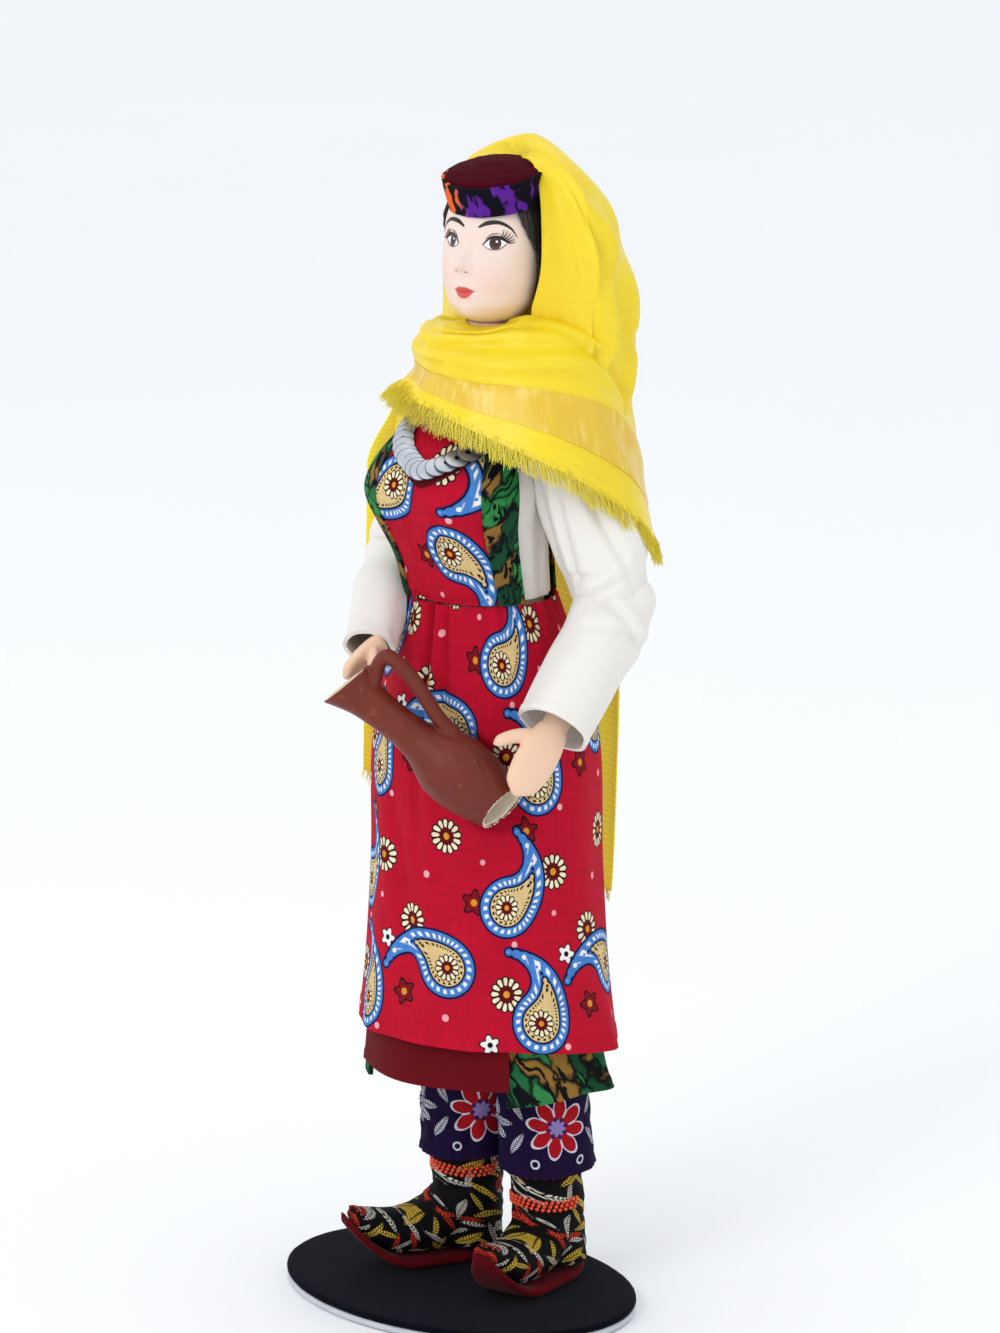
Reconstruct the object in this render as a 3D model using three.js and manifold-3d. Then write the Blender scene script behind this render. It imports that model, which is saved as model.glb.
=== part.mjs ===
// A standing costume doll in folk dress: bisque head and hands, wire-and-padding body, sewn clothes,
// a long silk headscarf and a clay jug held in both hands, pegged by its leg wires to an oval stand.
// Millimetres, +Z up. The origin is the middle of the stand's underside; the doll faces -Y, its left is +X.

import * as THREE from 'three';
import { mergeVertices } from 'three/addons/utils/BufferGeometryUtils.js';
import Module from 'manifold-3d';

const wasm = await Module();
wasm.setup();

// ---- driving dimensions ----

const GAP = 0.35; // clearance left between pieces that touch
const CLOTH = 0.8; // thickness of one layer of cloth

const STAND = { halfLength: 47, halfWidth: 34, turn: 10, boardTop: 1.7, top: 3.2 };
const BODY_Y = 8; // the trunk's axis is the vertical line x = 0, y = BODY_Y
const TRUNK_TURN = 9; // degrees that the dress is twisted to the doll's left
const WAIST_Z = 171.5;
const SKIRT_HEM_Z = 62;
const ROBE_HEM_Z = 53;
const TROUSER_HEM_Z = 31;
const NECK_Y = 10;
const HEAD_TURN = 16; // degrees to the doll's left
const CAP_TILT = 13; // degrees forward
const CAP_RIM_Z = 263;
const HOOD_HEM_Z = 234;
const SCARF_SPLIT_Z = 231;
const LEG_WIRE = 1.0; // radius
const FOOT = { heel: -9, ball: 16, toe: 32, halfWidth: 8.3, sole: 2.6, lift: 11.5 };

const point = (x, y, z) => new THREE.Vector3(x, y, z);

// Feet, hips and their turn-out in degrees, positive towards the doll's right.
const LEGS = {
  right: { ankle: point(-12.5, 12.5, 0), hip: point(-9.5, 11, 113), turn: 17 },
  left: { ankle: point(12, 19, 0), hip: point(9.5, 13, 113), turn: -17 },
};

const ARMS = {
  right: { shoulder: point(-23, 12, 206), elbow: point(-28, 5, 175), wrist: point(-5.5, -22, 165) },
  left: { shoulder: point(23, 14, 206), elbow: point(33, 20.5, 172), wrist: point(37.5, -3, 146.5) },
};

const JUG = { mouth: point(1, -34.5, 155.5), base: point(29.5, -11, 127.5), clearance: 10.8 };

// ---- materials ----

function material(color, roughness = 0.9, metalness = 0) {
  return new THREE.MeshStandardMaterial({ color, roughness, metalness });
}

const LOOK = {
  bisque: () => material(0xf0d8c8, 0.6),
  blackVelvet: () => material(0x0b0b12, 1),
  board: () => material(0xc9cdcf, 0.9),
  brocade: () => material(0x15131a, 0.8),
  clay: () => material(0x6b2f23, 0.75),
  hair: () => material(0x08080a, 0.7),
  linen: () => material(0xeeeae2, 0.95),
  maroon: () => material(0x4d0c14, 0.95),
  padding: () => material(0xd8cfbf, 1),
  print: () => material(0xb30f26, 0.9),
  batik: () => material(0x234a2c, 0.9),
  silk: () => material(0xf2cf12, 0.5),
  suede: () => material(0x571219, 0.95),
  trouser: () => material(0x2a1550, 0.85),
  sequin: () => material(0xc8ccd2, 0.25, 0.9),
  wire: () => material(0x9a9da1, 0.35, 0.9),
};

// ---- geometry helpers ----

const radians = THREE.MathUtils.degToRad;
const Z_AXIS = point(0, 0, 1);

/** Turns a point about the vertical line x = 0, y = y0. */
function turned(p, degrees, y0) {
  return p.sub(point(0, y0, 0)).applyAxisAngle(Z_AXIS, radians(degrees)).add(point(0, y0, 0));
}

/** Reads a table of [z, value, value, ...] rows at any z, with straight steps between the rows. */
function profile(...rows) {
  return (z) => {
    const found = rows.findIndex((row) => row[0] > z);
    const i = found === -1 ? rows.length - 1 : Math.max(1, found);
    const [low, high] = [rows[i - 1], rows[i]];
    const t = THREE.MathUtils.clamp((z - low[0]) / (high[0] - low[0]), 0, 1);
    return low.slice(1).map((value, k) => value + t * (high[k + 1] - value));
  };
}

function signedVolume(vertices, triangles) {
  let volume = 0;
  const corner = [point(), point(), point()];
  for (let i = 0; i < triangles.length; i += 3) {
    corner.forEach((c, k) => c.fromArray(vertices, 3 * triangles[i + k]));
    volume += corner[0].dot(corner[1].cross(corner[2]));
  }
  return volume;
}

/** Makes an indexed geometry whose faces point out. */
function closedGeometry(points, triangles) {
  const vertices = points.flatMap((p) => [p.x, p.y, p.z]);
  const index = signedVolume(vertices, triangles) < 0 ? [...triangles].reverse() : triangles;
  const geometry = new THREE.BufferGeometry();
  geometry.setAttribute('position', new THREE.Float32BufferAttribute(vertices, 3));
  geometry.setIndex(index);
  return geometry;
}

function quad(triangles, a, b, c, d) {
  triangles.push(a, b, c, a, c, d);
}

/**
 * A thin sheet as one closed solid. at(u, v, side) gives its inner (side 0) and outer (side 1) surface;
 * u runs across, all the way round when closed is true, and v runs along.
 */
function sheet(at, across, along, closed = false) {
  const columns = closed ? across : across + 1;
  const points = [];
  for (const side of [0, 1]) {
    for (let j = 0; j <= along; j += 1) {
      for (let i = 0; i < columns; i += 1) points.push(at(i / across, j / along, side));
    }
  }
  const id = (i, j, side) => (side * (along + 1) + j) * columns + (i % columns);
  const triangles = [];
  for (let i = 0; i < across; i += 1) {
    for (let j = 0; j < along; j += 1) {
      quad(triangles, id(i, j, 1), id(i + 1, j, 1), id(i + 1, j + 1, 1), id(i, j + 1, 1));
      quad(triangles, id(i, j, 0), id(i, j + 1, 0), id(i + 1, j + 1, 0), id(i + 1, j, 0));
    }
    quad(triangles, id(i, 0, 0), id(i + 1, 0, 0), id(i + 1, 0, 1), id(i, 0, 1));
    quad(triangles, id(i, along, 1), id(i + 1, along, 1), id(i + 1, along, 0), id(i, along, 0));
  }
  for (let j = 0; j < along && !closed; j += 1) {
    quad(triangles, id(0, j, 1), id(0, j + 1, 1), id(0, j + 1, 0), id(0, j, 0));
    quad(triangles, id(across, j, 0), id(across, j + 1, 0), id(across, j + 1, 1), id(across, j, 1));
  }
  return closedGeometry(points, triangles);
}

/** A capped solid skinned over rings: at(u, v) with u round the ring and v from the first ring to the last. */
function loft(at, around, along) {
  const points = [];
  for (let j = 0; j <= along; j += 1) {
    for (let i = 0; i < around; i += 1) points.push(at(i / around, j / along));
  }
  const centre = (j) => {
    const ring = points.slice(j * around, (j + 1) * around);
    return ring.reduce((sum, p) => sum.add(p), point(0, 0, 0)).divideScalar(around);
  };
  const caps = [centre(0), centre(along)];
  const [start, end] = [points.length, points.length + 1];
  points.push(...caps);
  const triangles = [];
  for (let i = 0; i < around; i += 1) {
    const next = (i + 1) % around;
    for (let j = 0; j < along; j += 1) {
      quad(triangles, j * around + i, j * around + next, (j + 1) * around + next, (j + 1) * around + i);
    }
    triangles.push(start, next, i);
    triangles.push(end, along * around + i, along * around + next);
  }
  return closedGeometry(points, triangles);
}

/** Two unit vectors square to a direction. */
function crossAxes(direction) {
  const helper = Math.abs(direction.z) > 0.9 ? point(0, 1, 0) : Z_AXIS;
  const e1 = point(0, 0, 0).crossVectors(helper, direction).normalize();
  return [e1, point(0, 0, 0).crossVectors(direction, e1)];
}

/** The point at a distance along and an angle around the line from a to b. */
function aroundLine(a, b, t, angle, radius) {
  const direction = b.clone().sub(a).normalize();
  const [e1, e2] = crossAxes(direction);
  const spoke = e1.multiplyScalar(Math.cos(angle) * radius).add(e2.multiplyScalar(Math.sin(angle) * radius));
  return a.clone().lerp(b, t).add(spoke);
}

/** A straight limb from a to b whose radius is radiusAt(t), for t from 0 at a to 1 at b. */
function limb(a, b, radiusAt, sides = 12, steps = 6) {
  return loft((u, v) => aroundLine(a, b, v, 2 * Math.PI * u, radiusAt(v)), sides, steps);
}

function solid(geometry) {
  const bare = geometry.clone();
  bare.deleteAttribute('normal');
  bare.deleteAttribute('uv');
  const merged = mergeVertices(bare, 1e-4);
  return new wasm.Manifold(
    new wasm.Mesh({
      numProp: 3,
      vertProperties: new Float32Array(merged.attributes.position.array),
      triVerts: new Uint32Array(merged.index.array),
    }),
  );
}

function geometryOf(manifold) {
  const mesh = manifold.getMesh();
  const geometry = new THREE.BufferGeometry();
  geometry.setAttribute('position', new THREE.BufferAttribute(mesh.vertProperties, 3));
  geometry.setIndex(new THREE.BufferAttribute(mesh.triVerts, 1));
  return geometry;
}

function joined(...geometries) {
  return geometryOf(geometries.map(solid).reduce((sum, part) => sum.add(part)));
}

/** Cuts a round hole of the given radius along the line from a to b. */
function bored(geometry, a, b, radius) {
  return geometryOf(solid(geometry).subtract(solid(limb(a, b, () => radius, 12, 1))));
}

// ---- the trunk's shape, which the clothes follow ----

// [z, half width, front half depth, back half depth] of the dress's outer surface above the waist.
const CHEST = profile(
  [WAIST_Z, 18, 18.5, 16],
  [180, 17.5, 21, 15.5],
  [190, 17.5, 25, 15],
  [199, 18.5, 27.5, 14.5],
  [206, 17.5, 24.5, 13.5],
  [212, 14.5, 18, 12],
  [217, 9.5, 10.5, 9],
);

const BUST_SQUARENESS = 2.5;

/** A point on a ring round the trunk: angle 0 is the front and 90 the doll's left. */
function ringPoint(z, degrees, [halfWidth, front, back], inset, squareness = 2) {
  const angle = radians(degrees);
  const [s, c] = [Math.sin(angle), Math.cos(angle)];
  const power = c > 0 ? squareness : 2;
  const reach = (Math.abs(s) ** power + Math.abs(c) ** power) ** (-1 / power);
  const depth = c > 0 ? front : back;
  return point(s * reach * (halfWidth - inset), BODY_Y - c * reach * (depth - inset), z);
}

function chestPoint(z, degrees, inset) {
  return turned(ringPoint(z, degrees, CHEST(z), inset, BUST_SQUARENESS), TRUNK_TURN, BODY_Y);
}

// [z, half width, front half depth, back half depth] of the skirt's outer surface.
const SKIRT = profile(
  [SKIRT_HEM_Z, 33, 31, 31],
  [80, 31, 29, 29],
  [105, 29.5, 27, 27.5],
  [140, 28, 25.5, 26],
  [152, 25.5, 23, 23.5],
  [162, 21.5, 20.5, 19.5],
  [WAIST_Z - GAP, 18, 18.5, 16],
);

/** Moves a point of the skirt away from the jug that rests against it. */
function clearOfJug(p, extra) {
  const line = new THREE.Line3(JUG.mouth, JUG.base);
  const nearest = line.closestPointToPoint(p, true, point(0, 0, 0));
  const inward = point(-nearest.x, BODY_Y - nearest.y, 0).normalize();
  const reach = JUG.clearance + extra;
  while (p.distanceTo(nearest) < reach) {
    p.addScaledVector(inward, 0.1);
    line.closestPointToPoint(p, true, nearest);
  }
  return p;
}

/** Moves a point of a sleeve out of the trunk that it lies against. */
function clearOfTrunk(p, extra) {
  const [halfWidth, front, back] = p.z > WAIST_Z ? CHEST(p.z) : SKIRT(p.z);
  const depth = p.y < BODY_Y ? front : back;
  const [x, y] = [p.x, p.y - BODY_Y];
  const fraction = Math.hypot(x / (halfWidth + extra), y / (depth + extra));
  if (fraction >= 1) return p;
  return point(x / fraction, BODY_Y + y / fraction, p.z);
}

// ---- stand ----

function ovalPlate(inset, low, high) {
  const outline = new THREE.Shape();
  outline.absellipse(0, 0, STAND.halfLength - inset, STAND.halfWidth - inset, 0, 2 * Math.PI, false, 0);
  const plate = new THREE.ExtrudeGeometry(outline, { depth: high - low, bevelEnabled: false, curveSegments: 20 });
  return plate.rotateZ(radians(STAND.turn)).translate(0, 0, low);
}

/** Cuts the holes of both leg wires. */
function pegged(geometry) {
  return Object.values(LEGS).reduce((cut, leg) => {
    const foot = leg.ankle.clone().setZ(wireFoot(leg).z - GAP);
    return bored(cut, foot, leg.hip.clone().setZ(leg.hip.z + GAP), LEG_WIRE + GAP);
  }, geometry);
}

const wireFoot = (leg) => leg.ankle.clone().setZ(0.9);

// ---- feet and legs ----

/** A point of a foot: a runs forward from the ankle, b to the foot's own left. */
function footPoint(leg, a, b, z) {
  const p = point(b, -a, z).applyAxisAngle(Z_AXIS, radians(-leg.turn));
  return p.add(leg.ankle);
}

function footHalfWidth(a, inset) {
  const middle = (FOOT.toe + FOOT.heel) / 2;
  const half = (FOOT.toe - FOOT.heel) / 2;
  const across = 1 - Math.abs((a - middle) / half) ** 2.6;
  return Math.max(1.6, (FOOT.halfWidth - 0.05 * Math.max(0, a)) * Math.sqrt(Math.max(0, across))) - inset;
}

/** Height of the sole's underside, which curls up in front of the ball of the foot. */
function soleUnderside(a) {
  const along = Math.max(0, (a - FOOT.ball) / (FOOT.toe - FOOT.ball));
  return STAND.top + GAP + FOOT.lift * along ** 2;
}

function sole(leg) {
  return sheet((u, v, side) => {
    const a = THREE.MathUtils.lerp(FOOT.heel, FOOT.toe, v);
    const b = (2 * u - 1) * footHalfWidth(a, 0);
    return footPoint(leg, a, b, soleUnderside(a) + side * FOOT.sole);
  }, 2, 10);
}

const BOOT_TOP = profile([-8, 23], [4, 23], [10, 19.5], [17, 17.5], [25, 18.2], [30, 20]);

function boot(leg) {
  const vamp = loft((u, v) => {
    const a = THREE.MathUtils.lerp(-8, 29, v);
    const floor = soleUnderside(a) + FOOT.sole + GAP;
    const angle = 2 * Math.PI * u;
    const halfHeight = (BOOT_TOP(a)[0] - floor) / 2;
    const squash = Math.sin(angle) < 0 ? 0.96 : 1;
    return footPoint(
      leg, a, footHalfWidth(a, 0.5) * Math.cos(angle) * squash,
      floor + halfHeight * (1 + Math.max(-1, 1.15 * Math.sin(angle))),
    );
  }, 10, 8);
  const shaftFoot = leg.ankle.clone().setZ(STAND.top + GAP + FOOT.sole + 4);
  const shaft = limb(shaftFoot, legAt(leg, 38), () => 8.7, 14, 2);
  return joined(vamp, shaft);
}

function legAt(leg, z) {
  const foot = wireFoot(leg);
  return foot.lerp(leg.hip, (z - foot.z) / (leg.hip.z - foot.z));
}

function paddedLeg(leg) {
  return limb(legAt(leg, 39), legAt(leg, 102), (t) => 7 + 1.5 * t, 12, 3);
}

function trouserLeg(leg) {
  const [low, high] = [TROUSER_HEM_Z, 84];
  return sheet((u, v, side) => {
    const z = THREE.MathUtils.lerp(low, high, v);
    const radius = THREE.MathUtils.lerp(11.2, 10.2, v) - (1 - side) * CLOTH;
    const middle = legAt(leg, z);
    return middle.add(point(Math.cos(2 * Math.PI * u) * radius, Math.sin(2 * Math.PI * u) * radius, 0));
  }, 16, 3, true);
}

function legWire(leg) {
  return limb(wireFoot(leg), leg.hip, () => LEG_WIRE, 10, 2);
}

// ---- trunk and dress ----

const TORSO_INSET = 3.4;
const TORSO_BOTTOM = 103;

const HIPS = profile([TORSO_BOTTOM, 17, 12, 13], [125, 18.5, 14, 15], [150, 16, 13.5, 13.5], [WAIST_Z, 14.6, 15, 12.6]);

function torso() {
  const top = 214;
  return loft((u, v) => {
    const z = THREE.MathUtils.lerp(TORSO_BOTTOM, top, v);
    if (z < WAIST_Z) return turned(ringPoint(z, 360 * u, HIPS(z), 0), TRUNK_TURN, BODY_Y);
    return chestPoint(z, 360 * u, TORSO_INSET);
  }, 16, 10);
}

/** A layer of the dress over the chest, between two angles and two heights. */
function chestLayer(from, to, low, high, inset, across, along, thickness = CLOTH) {
  return sheet((u, v, side) => {
    const z = THREE.MathUtils.lerp(low, high, v);
    const start = typeof from === 'function' ? from(z) : from;
    const end = typeof to === 'function' ? to(z) : to;
    return chestPoint(z, THREE.MathUtils.lerp(start, end, u), inset - side * thickness);
  }, across, along, to === 360);
}

const BLOUSE_INSET = 2.9;
const BODICE_INSET = 1.7;
const BORDER = { front: 50.5, frontWidth: 20, back: 30.5, backWidth: 14, spread: 3 }; // degrees round the trunk
const SKIRT_CLOTH = 1.0;

function robePanel(from, to, hem) {
  const top = 104;
  return sheet((u, v, side) => {
    const degrees = THREE.MathUtils.lerp(from, to, u);
    const z = THREE.MathUtils.lerp(hem, top, v);
    const rows = [30.3 - 4 * v, 28.3 - 4 * v, 28.3 - 4 * v];
    return ringPoint(z, degrees, rows, (1 - side) * CLOTH);
  }, Math.round(Math.abs(to - from) / 15), 4);
}

function skirt() {
  return sheet((u, v, side) => {
    const z = THREE.MathUtils.lerp(SKIRT_HEM_Z, WAIST_Z - GAP, v);
    const inset = (1 - side) * SKIRT_CLOTH;
    return clearOfJug(ringPoint(z, 360 * u, SKIRT(z), inset), inset);
  }, 30, 11, true);
}

/** A band lying on the chest in a U below the neck, from one shoulder to the other. */
function chestLoop(bottomZ, halfAngle, topZ, width, lift, thickness) {
  return sheet((u, v, side) => {
    const swing = 2 * v - 1;
    const z = bottomZ + (topZ - bottomZ) * Math.abs(swing) ** 2 + width * u * (1 - 0.3 * Math.abs(swing));
    const degrees = swing * halfAngle * (1 - 0.12 * u);
    return chestPoint(z, degrees, -lift - side * thickness);
  }, 1, 14);
}

// ---- arms ----

/** A hand like a mitten with a separate thumb, in its own frame: fingers to +Z, palm to -Y, thumb to +X. */
function mitten(length) {
  const wristStart = -5;
  const palm = loft((u, v) => {
    const z = THREE.MathUtils.lerp(wristStart, length, v);
    const t = Math.max(0, z / length);
    const halfWidth = z < 0 ? 3.1 : 3.2 + 1.9 * Math.sin(Math.PI * Math.min(1, t * 0.82 + 0.1)) - 1.6 * t ** 6;
    const halfDepth = z < 0 ? 2.5 : 2.5 - 0.9 * t;
    const curl = -2.2 * t ** 2;
    return point(Math.cos(2 * Math.PI * u) * halfWidth, curl + Math.sin(2 * Math.PI * u) * halfDepth, z);
  }, 10, 6);
  const thumb = limb(point(2, 0, 4), point(8.2, -2.4, 10.2), (t) => 1.9 - 0.6 * t, 8, 3);
  return joined(palm, thumb);
}

/** Places a mitten with its wrist at one point, its fingers and its palm facing given ways. */
function placedHand(wrist, fingertips, palmFacing, mirrored) {
  const z = fingertips.clone().sub(wrist);
  const length = z.length();
  z.normalize();
  const y = palmFacing.clone().negate();
  y.addScaledVector(z, -y.dot(z)).normalize();
  const x = point(0, 0, 0).crossVectors(y, z);
  const basis = new THREE.Matrix4().makeBasis(x, y, z).setPosition(wrist);
  const flip = new THREE.Matrix4().makeScale(mirrored ? -1 : 1, 1, 1);
  const hand = geometryOf(solid(mitten(length)).transform(flip.elements));
  return hand.applyMatrix4(basis);
}

const TRUNK_CLEARANCE = 1.5;

/** A sleeve round the line from a to b, kept clear of the trunk. */
function sleeve(a, b, radiusAt, from, to) {
  return sheet((u, v, side) => {
    const t = THREE.MathUtils.lerp(from, to, v);
    const p = aroundLine(a, b, t, 2 * Math.PI * u, radiusAt(t) - (1 - side) * CLOTH);
    return clearOfTrunk(p, TRUNK_CLEARANCE + (1 - side) * CLOTH);
  }, 14, 4, true);
}

// ---- head ----

// [z, half width, front half depth, back half depth]
const HEAD = profile(
  [235.5, 2.5, 2.5, 2.5],
  [237.5, 6, 7.2, 5.5],
  [240, 8.6, 9.8, 8.5],
  [244, 10.3, 11.3, 10.5],
  [249, 11.1, 11.6, 11.4],
  [255, 11.2, 10.6, 11.8],
  [261, 10.1, 9.2, 11.3],
  [264.5, 8.2, 7.4, 9],
  [267, 4.5, 4, 5],
);

function headPoint(z, degrees, outset) {
  const p = ringPoint(z, degrees, HEAD(z), -outset).add(point(0, NECK_Y - BODY_Y, 0));
  return turned(p, HEAD_TURN, NECK_Y);
}

function head() {
  const heights = [235.5, 236.5, 237.5, 240, 244, 249, 255, 261, 264.5, 267];
  return loft((u, v) => headPoint(heights[Math.round(v * (heights.length - 1))], 360 * u, 0), 16, heights.length - 1);
}

function hair() {
  return sheet((u, v, side) => {
    const z = THREE.MathUtils.lerp(240, 261, v);
    return headPoint(z, THREE.MathUtils.lerp(88 - 16 * v, 272 + 16 * v, u), GAP + 0.15 + side * 0.6);
  }, 10, 4);
}

/** Turns a lathe's axis upright and sets it on the head with the cap's forward tilt. */
function onHead(lathe) {
  lathe.rotateX(Math.PI / 2).rotateX(radians(CAP_TILT));
  return lathe.rotateZ(radians(HEAD_TURN)).translate(0, NECK_Y, CAP_RIM_Z);
}

function lathed(...outline) {
  return new THREE.LatheGeometry(outline.map(([r, z]) => new THREE.Vector2(r, z)), 20);
}

// ---- scarf ----

const CROWN = point(0, NECK_Y, 275.6);

/** The hood: meridians rise from its hem and meet over the crown. */
function hood() {
  const reach = 150; // degrees from the back to each front edge
  return sheet((u, v, side) => {
    const degrees = (2 * u - 1) * reach;
    const s = Math.sin(radians(degrees));
    const c = Math.cos(radians(degrees));
    const inset = (1 - side) * CLOTH;
    const foot = point((28 - inset) * s, 20 + (c > 0 ? 24 : 7) * c - inset * c, 0);
    const frontness = Math.abs(degrees) / reach;
    const squareness = THREE.MathUtils.lerp(2.3, 6, frontness ** 2);
    const arc = (Math.PI / 2) * v * 0.97;
    const out = Math.cos(arc) ** (2 / squareness);
    const up = Math.sin(arc) ** (2 / squareness);
    const ridge = 5.5 * (1 - frontness) * Math.exp(-(((out - 0.38) / 0.22) ** 2));
    const rise = (CROWN.z - HOOD_HEM_Z + ridge - inset) * up;
    return point(foot.x * out, NECK_Y + (foot.y - NECK_Y) * out, HOOD_HEM_Z + rise);
  }, 20, 9);
}

/** The thick roll of scarf wound round the neck under the chin. */
function scarfRoll() {
  const tube = 5;
  const torus = new THREE.TorusGeometry(14, tube, 8, 18);
  return torus.scale(1, 1.08, 0.85).translate(0, NECK_Y - 1, 226.3);
}

/** The scarf's layer over the chest and shoulders. */
function shawl() {
  return sheet((u, v, side) => {
    const degrees = 360 * u;
    const z = THREE.MathUtils.lerp(221, 214, v);
    const front = 0.5 + 0.5 * Math.cos(radians(degrees));
    const radius = THREE.MathUtils.lerp(12.5, 19 + 4 * front, v);
    const p = point(Math.sin(radians(degrees)) * radius, -Math.cos(radians(degrees)) * radius * 1.05, z + side * CLOTH);
    return p.add(point(0, BODY_Y, 0));
  }, 18, 2, true);
}

/** The scarf over the left upper arm, which moves with that arm. */
function shoulderDrape() {
  const { shoulder, elbow } = ARMS.left;
  return sheet((u, v, side) => {
    const t = THREE.MathUtils.lerp(0.12, 0.62, v);
    const degrees = THREE.MathUtils.lerp(-70, 80, u);
    const direction = point(Math.cos(radians(degrees)), Math.sin(radians(degrees)), 0.36 * Math.cos(radians(degrees)));
    return shoulder.clone().lerp(elbow, t).addScaledVector(direction, 11.4 + side * CLOTH);
  }, 10, 4);
}

/** A hanging sheet behind the doll, between two angles from the front, with a hem that may slope. */
function backSheet(from, to, topZ, hemAt, radiusAt) {
  return sheet((u, v, side) => {
    const degrees = THREE.MathUtils.lerp(from, to, u);
    const z = THREE.MathUtils.lerp(topZ, hemAt(u), v);
    const [halfWidth, depth] = radiusAt(z);
    return ringPoint(z, degrees, [halfWidth, depth, depth], (1 - side) * CLOTH);
  }, 9, 4);
}

const SCARF_BACK = profile([200, 38, 33], [SCARF_SPLIT_Z, 29, 35]);
const SCARF_TAIL = profile([90, 40, 35], [199.5, 38, 33]);

// ---- jug ----

// [distance from the mouth, outer radius]
const JUG_RADIUS = [[0, 6.6], [3, 5.4], [7, 4.6], [16, 4.2], [23, 5], [27, 7.4], [30, 9], [34, 9.2], [41, 8.4]];
const JUG_WALL = 1.1;

function jug() {
  const length = JUG.mouth.distanceTo(JUG.base);
  const outside = [...JUG_RADIUS, [length, 7.2]];
  const inside = outside.map(([along, radius]) => [along, radius - JUG_WALL]).reverse();
  const wall = [...outside, ...inside, outside[0]].map(([along, radius]) => new THREE.Vector2(radius, along));
  const body = new THREE.LatheGeometry(wall, 16).rotateX(Math.PI / 2);
  const path = new THREE.CatmullRomCurve3([
    point(0, 4.7, 6), point(0, 9.6, 3.4), point(0, 11.4, 6.5), point(0, 10, 15), point(0, 7.6, 24), point(0, 7.4, 28),
  ]);
  const strap = new THREE.Shape();
  strap.absellipse(0, 0, 1.3, 1.7, 0, 2 * Math.PI, false, 0);
  const handle = new THREE.ExtrudeGeometry(strap, { steps: 10, extrudePath: path, curveSegments: 4 });
  const axis = JUG.base.clone().sub(JUG.mouth).normalize();
  const upward = Z_AXIS.clone().addScaledVector(axis, -axis.z).normalize();
  const across = point(0, 0, 0).crossVectors(upward, axis);
  const basis = new THREE.Matrix4().makeBasis(across, upward, axis).setPosition(JUG.mouth);
  return joined(body, handle).applyMatrix4(basis);
}

// ---- the doll ----

const doll = new THREE.Group();

function add(name, geometry, look) {
  const mesh = new THREE.Mesh(geometry, look());
  mesh.name = name;
  doll.add(mesh);
}

add('stand_board', pegged(ovalPlate(0, 0, STAND.boardTop)), LOOK.board);
add('stand_velvet', pegged(ovalPlate(0.4, STAND.boardTop + GAP, STAND.top)), LOOK.blackVelvet);

for (const [side, leg] of Object.entries(LEGS)) {
  add(`${side}_sole`, pegged(sole(leg)), LOOK.suede);
  add(`${side}_boot`, pegged(boot(leg)), LOOK.brocade);
  add(`${side}_leg`, pegged(paddedLeg(leg)), LOOK.padding);
  add(`${side}_trouser_leg`, trouserLeg(leg), LOOK.trouser);
  add(`${side}_leg_wire`, legWire(leg), LOOK.wire);
}

add('torso', pegged(torso()), LOOK.padding);
add('robe_front', robePanel(-34, 58, ROBE_HEM_Z), LOOK.maroon);
add('robe_back', robePanel(60, 324, ROBE_HEM_Z - 1), LOOK.batik);
add('skirt', skirt(), LOOK.print);
add('blouse_body', chestLayer(0, 360, 173, 213, BLOUSE_INSET, 18, 6), LOOK.linen);
add('bodice_front', chestLayer(-49, 49, WAIST_Z, 213, BODICE_INSET, 8, 6), LOOK.print);
add('bodice_back', chestLayer(151, 209, WAIST_Z, 211, BODICE_INSET, 6, 6), LOOK.print);
for (const [side, sign] of [['left', 1], ['right', -1]]) {
  const inner = (z) => sign * (BORDER.front + BORDER.spread * Math.max(0, (190 - z) / 20));
  const outer = (z) => inner(z) + sign * BORDER.frontWidth;
  add(`${side}_front_border`, chestLayer(inner, outer, WAIST_Z, 212, BODICE_INSET, 3, 8), LOOK.batik);
  const back = 180 - sign * BORDER.back;
  const backEnd = back - sign * BORDER.backWidth;
  add(`${side}_back_border`, chestLayer(back, backEnd, WAIST_Z, 210, BODICE_INSET, 2, 6), LOOK.batik);
}
add('collar_band', chestLoop(199, 44, 212, 3, -0.1, 0.6), LOOK.maroon);
add('necklace', chestLoop(201, 36, 214, 4.5, 0.9, 0.8), LOOK.sequin);

for (const [side, { shoulder, elbow, wrist }] of Object.entries(ARMS)) {
  const upper = shoulder.distanceTo(elbow);
  const fore = elbow.distanceTo(wrist);
  const upperAt = (distance) => shoulder.clone().lerp(elbow, distance / upper);
  const foreAt = (distance) => elbow.clone().lerp(wrist, distance / fore);
  add(`${side}_upper_arm`, limb(upperAt(7), upperAt(upper - 4.2), () => 3, 10, 2), LOOK.padding);
  add(`${side}_forearm`, limb(foreAt(0), foreAt(fore - 6), (t) => 3 - 0.6 * t, 10, 2), LOOK.padding);
  add(`${side}_upper_sleeve`, sleeve(shoulder, elbow, () => 9.6, 7 / upper, 1 - 9 / upper), LOOK.linen);
  add(`${side}_lower_sleeve`, sleeve(elbow, wrist, (t) => 9.8 - 1.6 * t, 0, 1), LOOK.linen);
}
add('left_hand', placedHand(ARMS.left.wrist, point(38.5, -14.5, 133), point(-0.75, -0.1, -0.65), true), LOOK.bisque);
add('right_hand', placedHand(ARMS.right.wrist, point(-10, -31.5, 159), point(0.95, -0.3, 0.05), false), LOOK.bisque);

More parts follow.
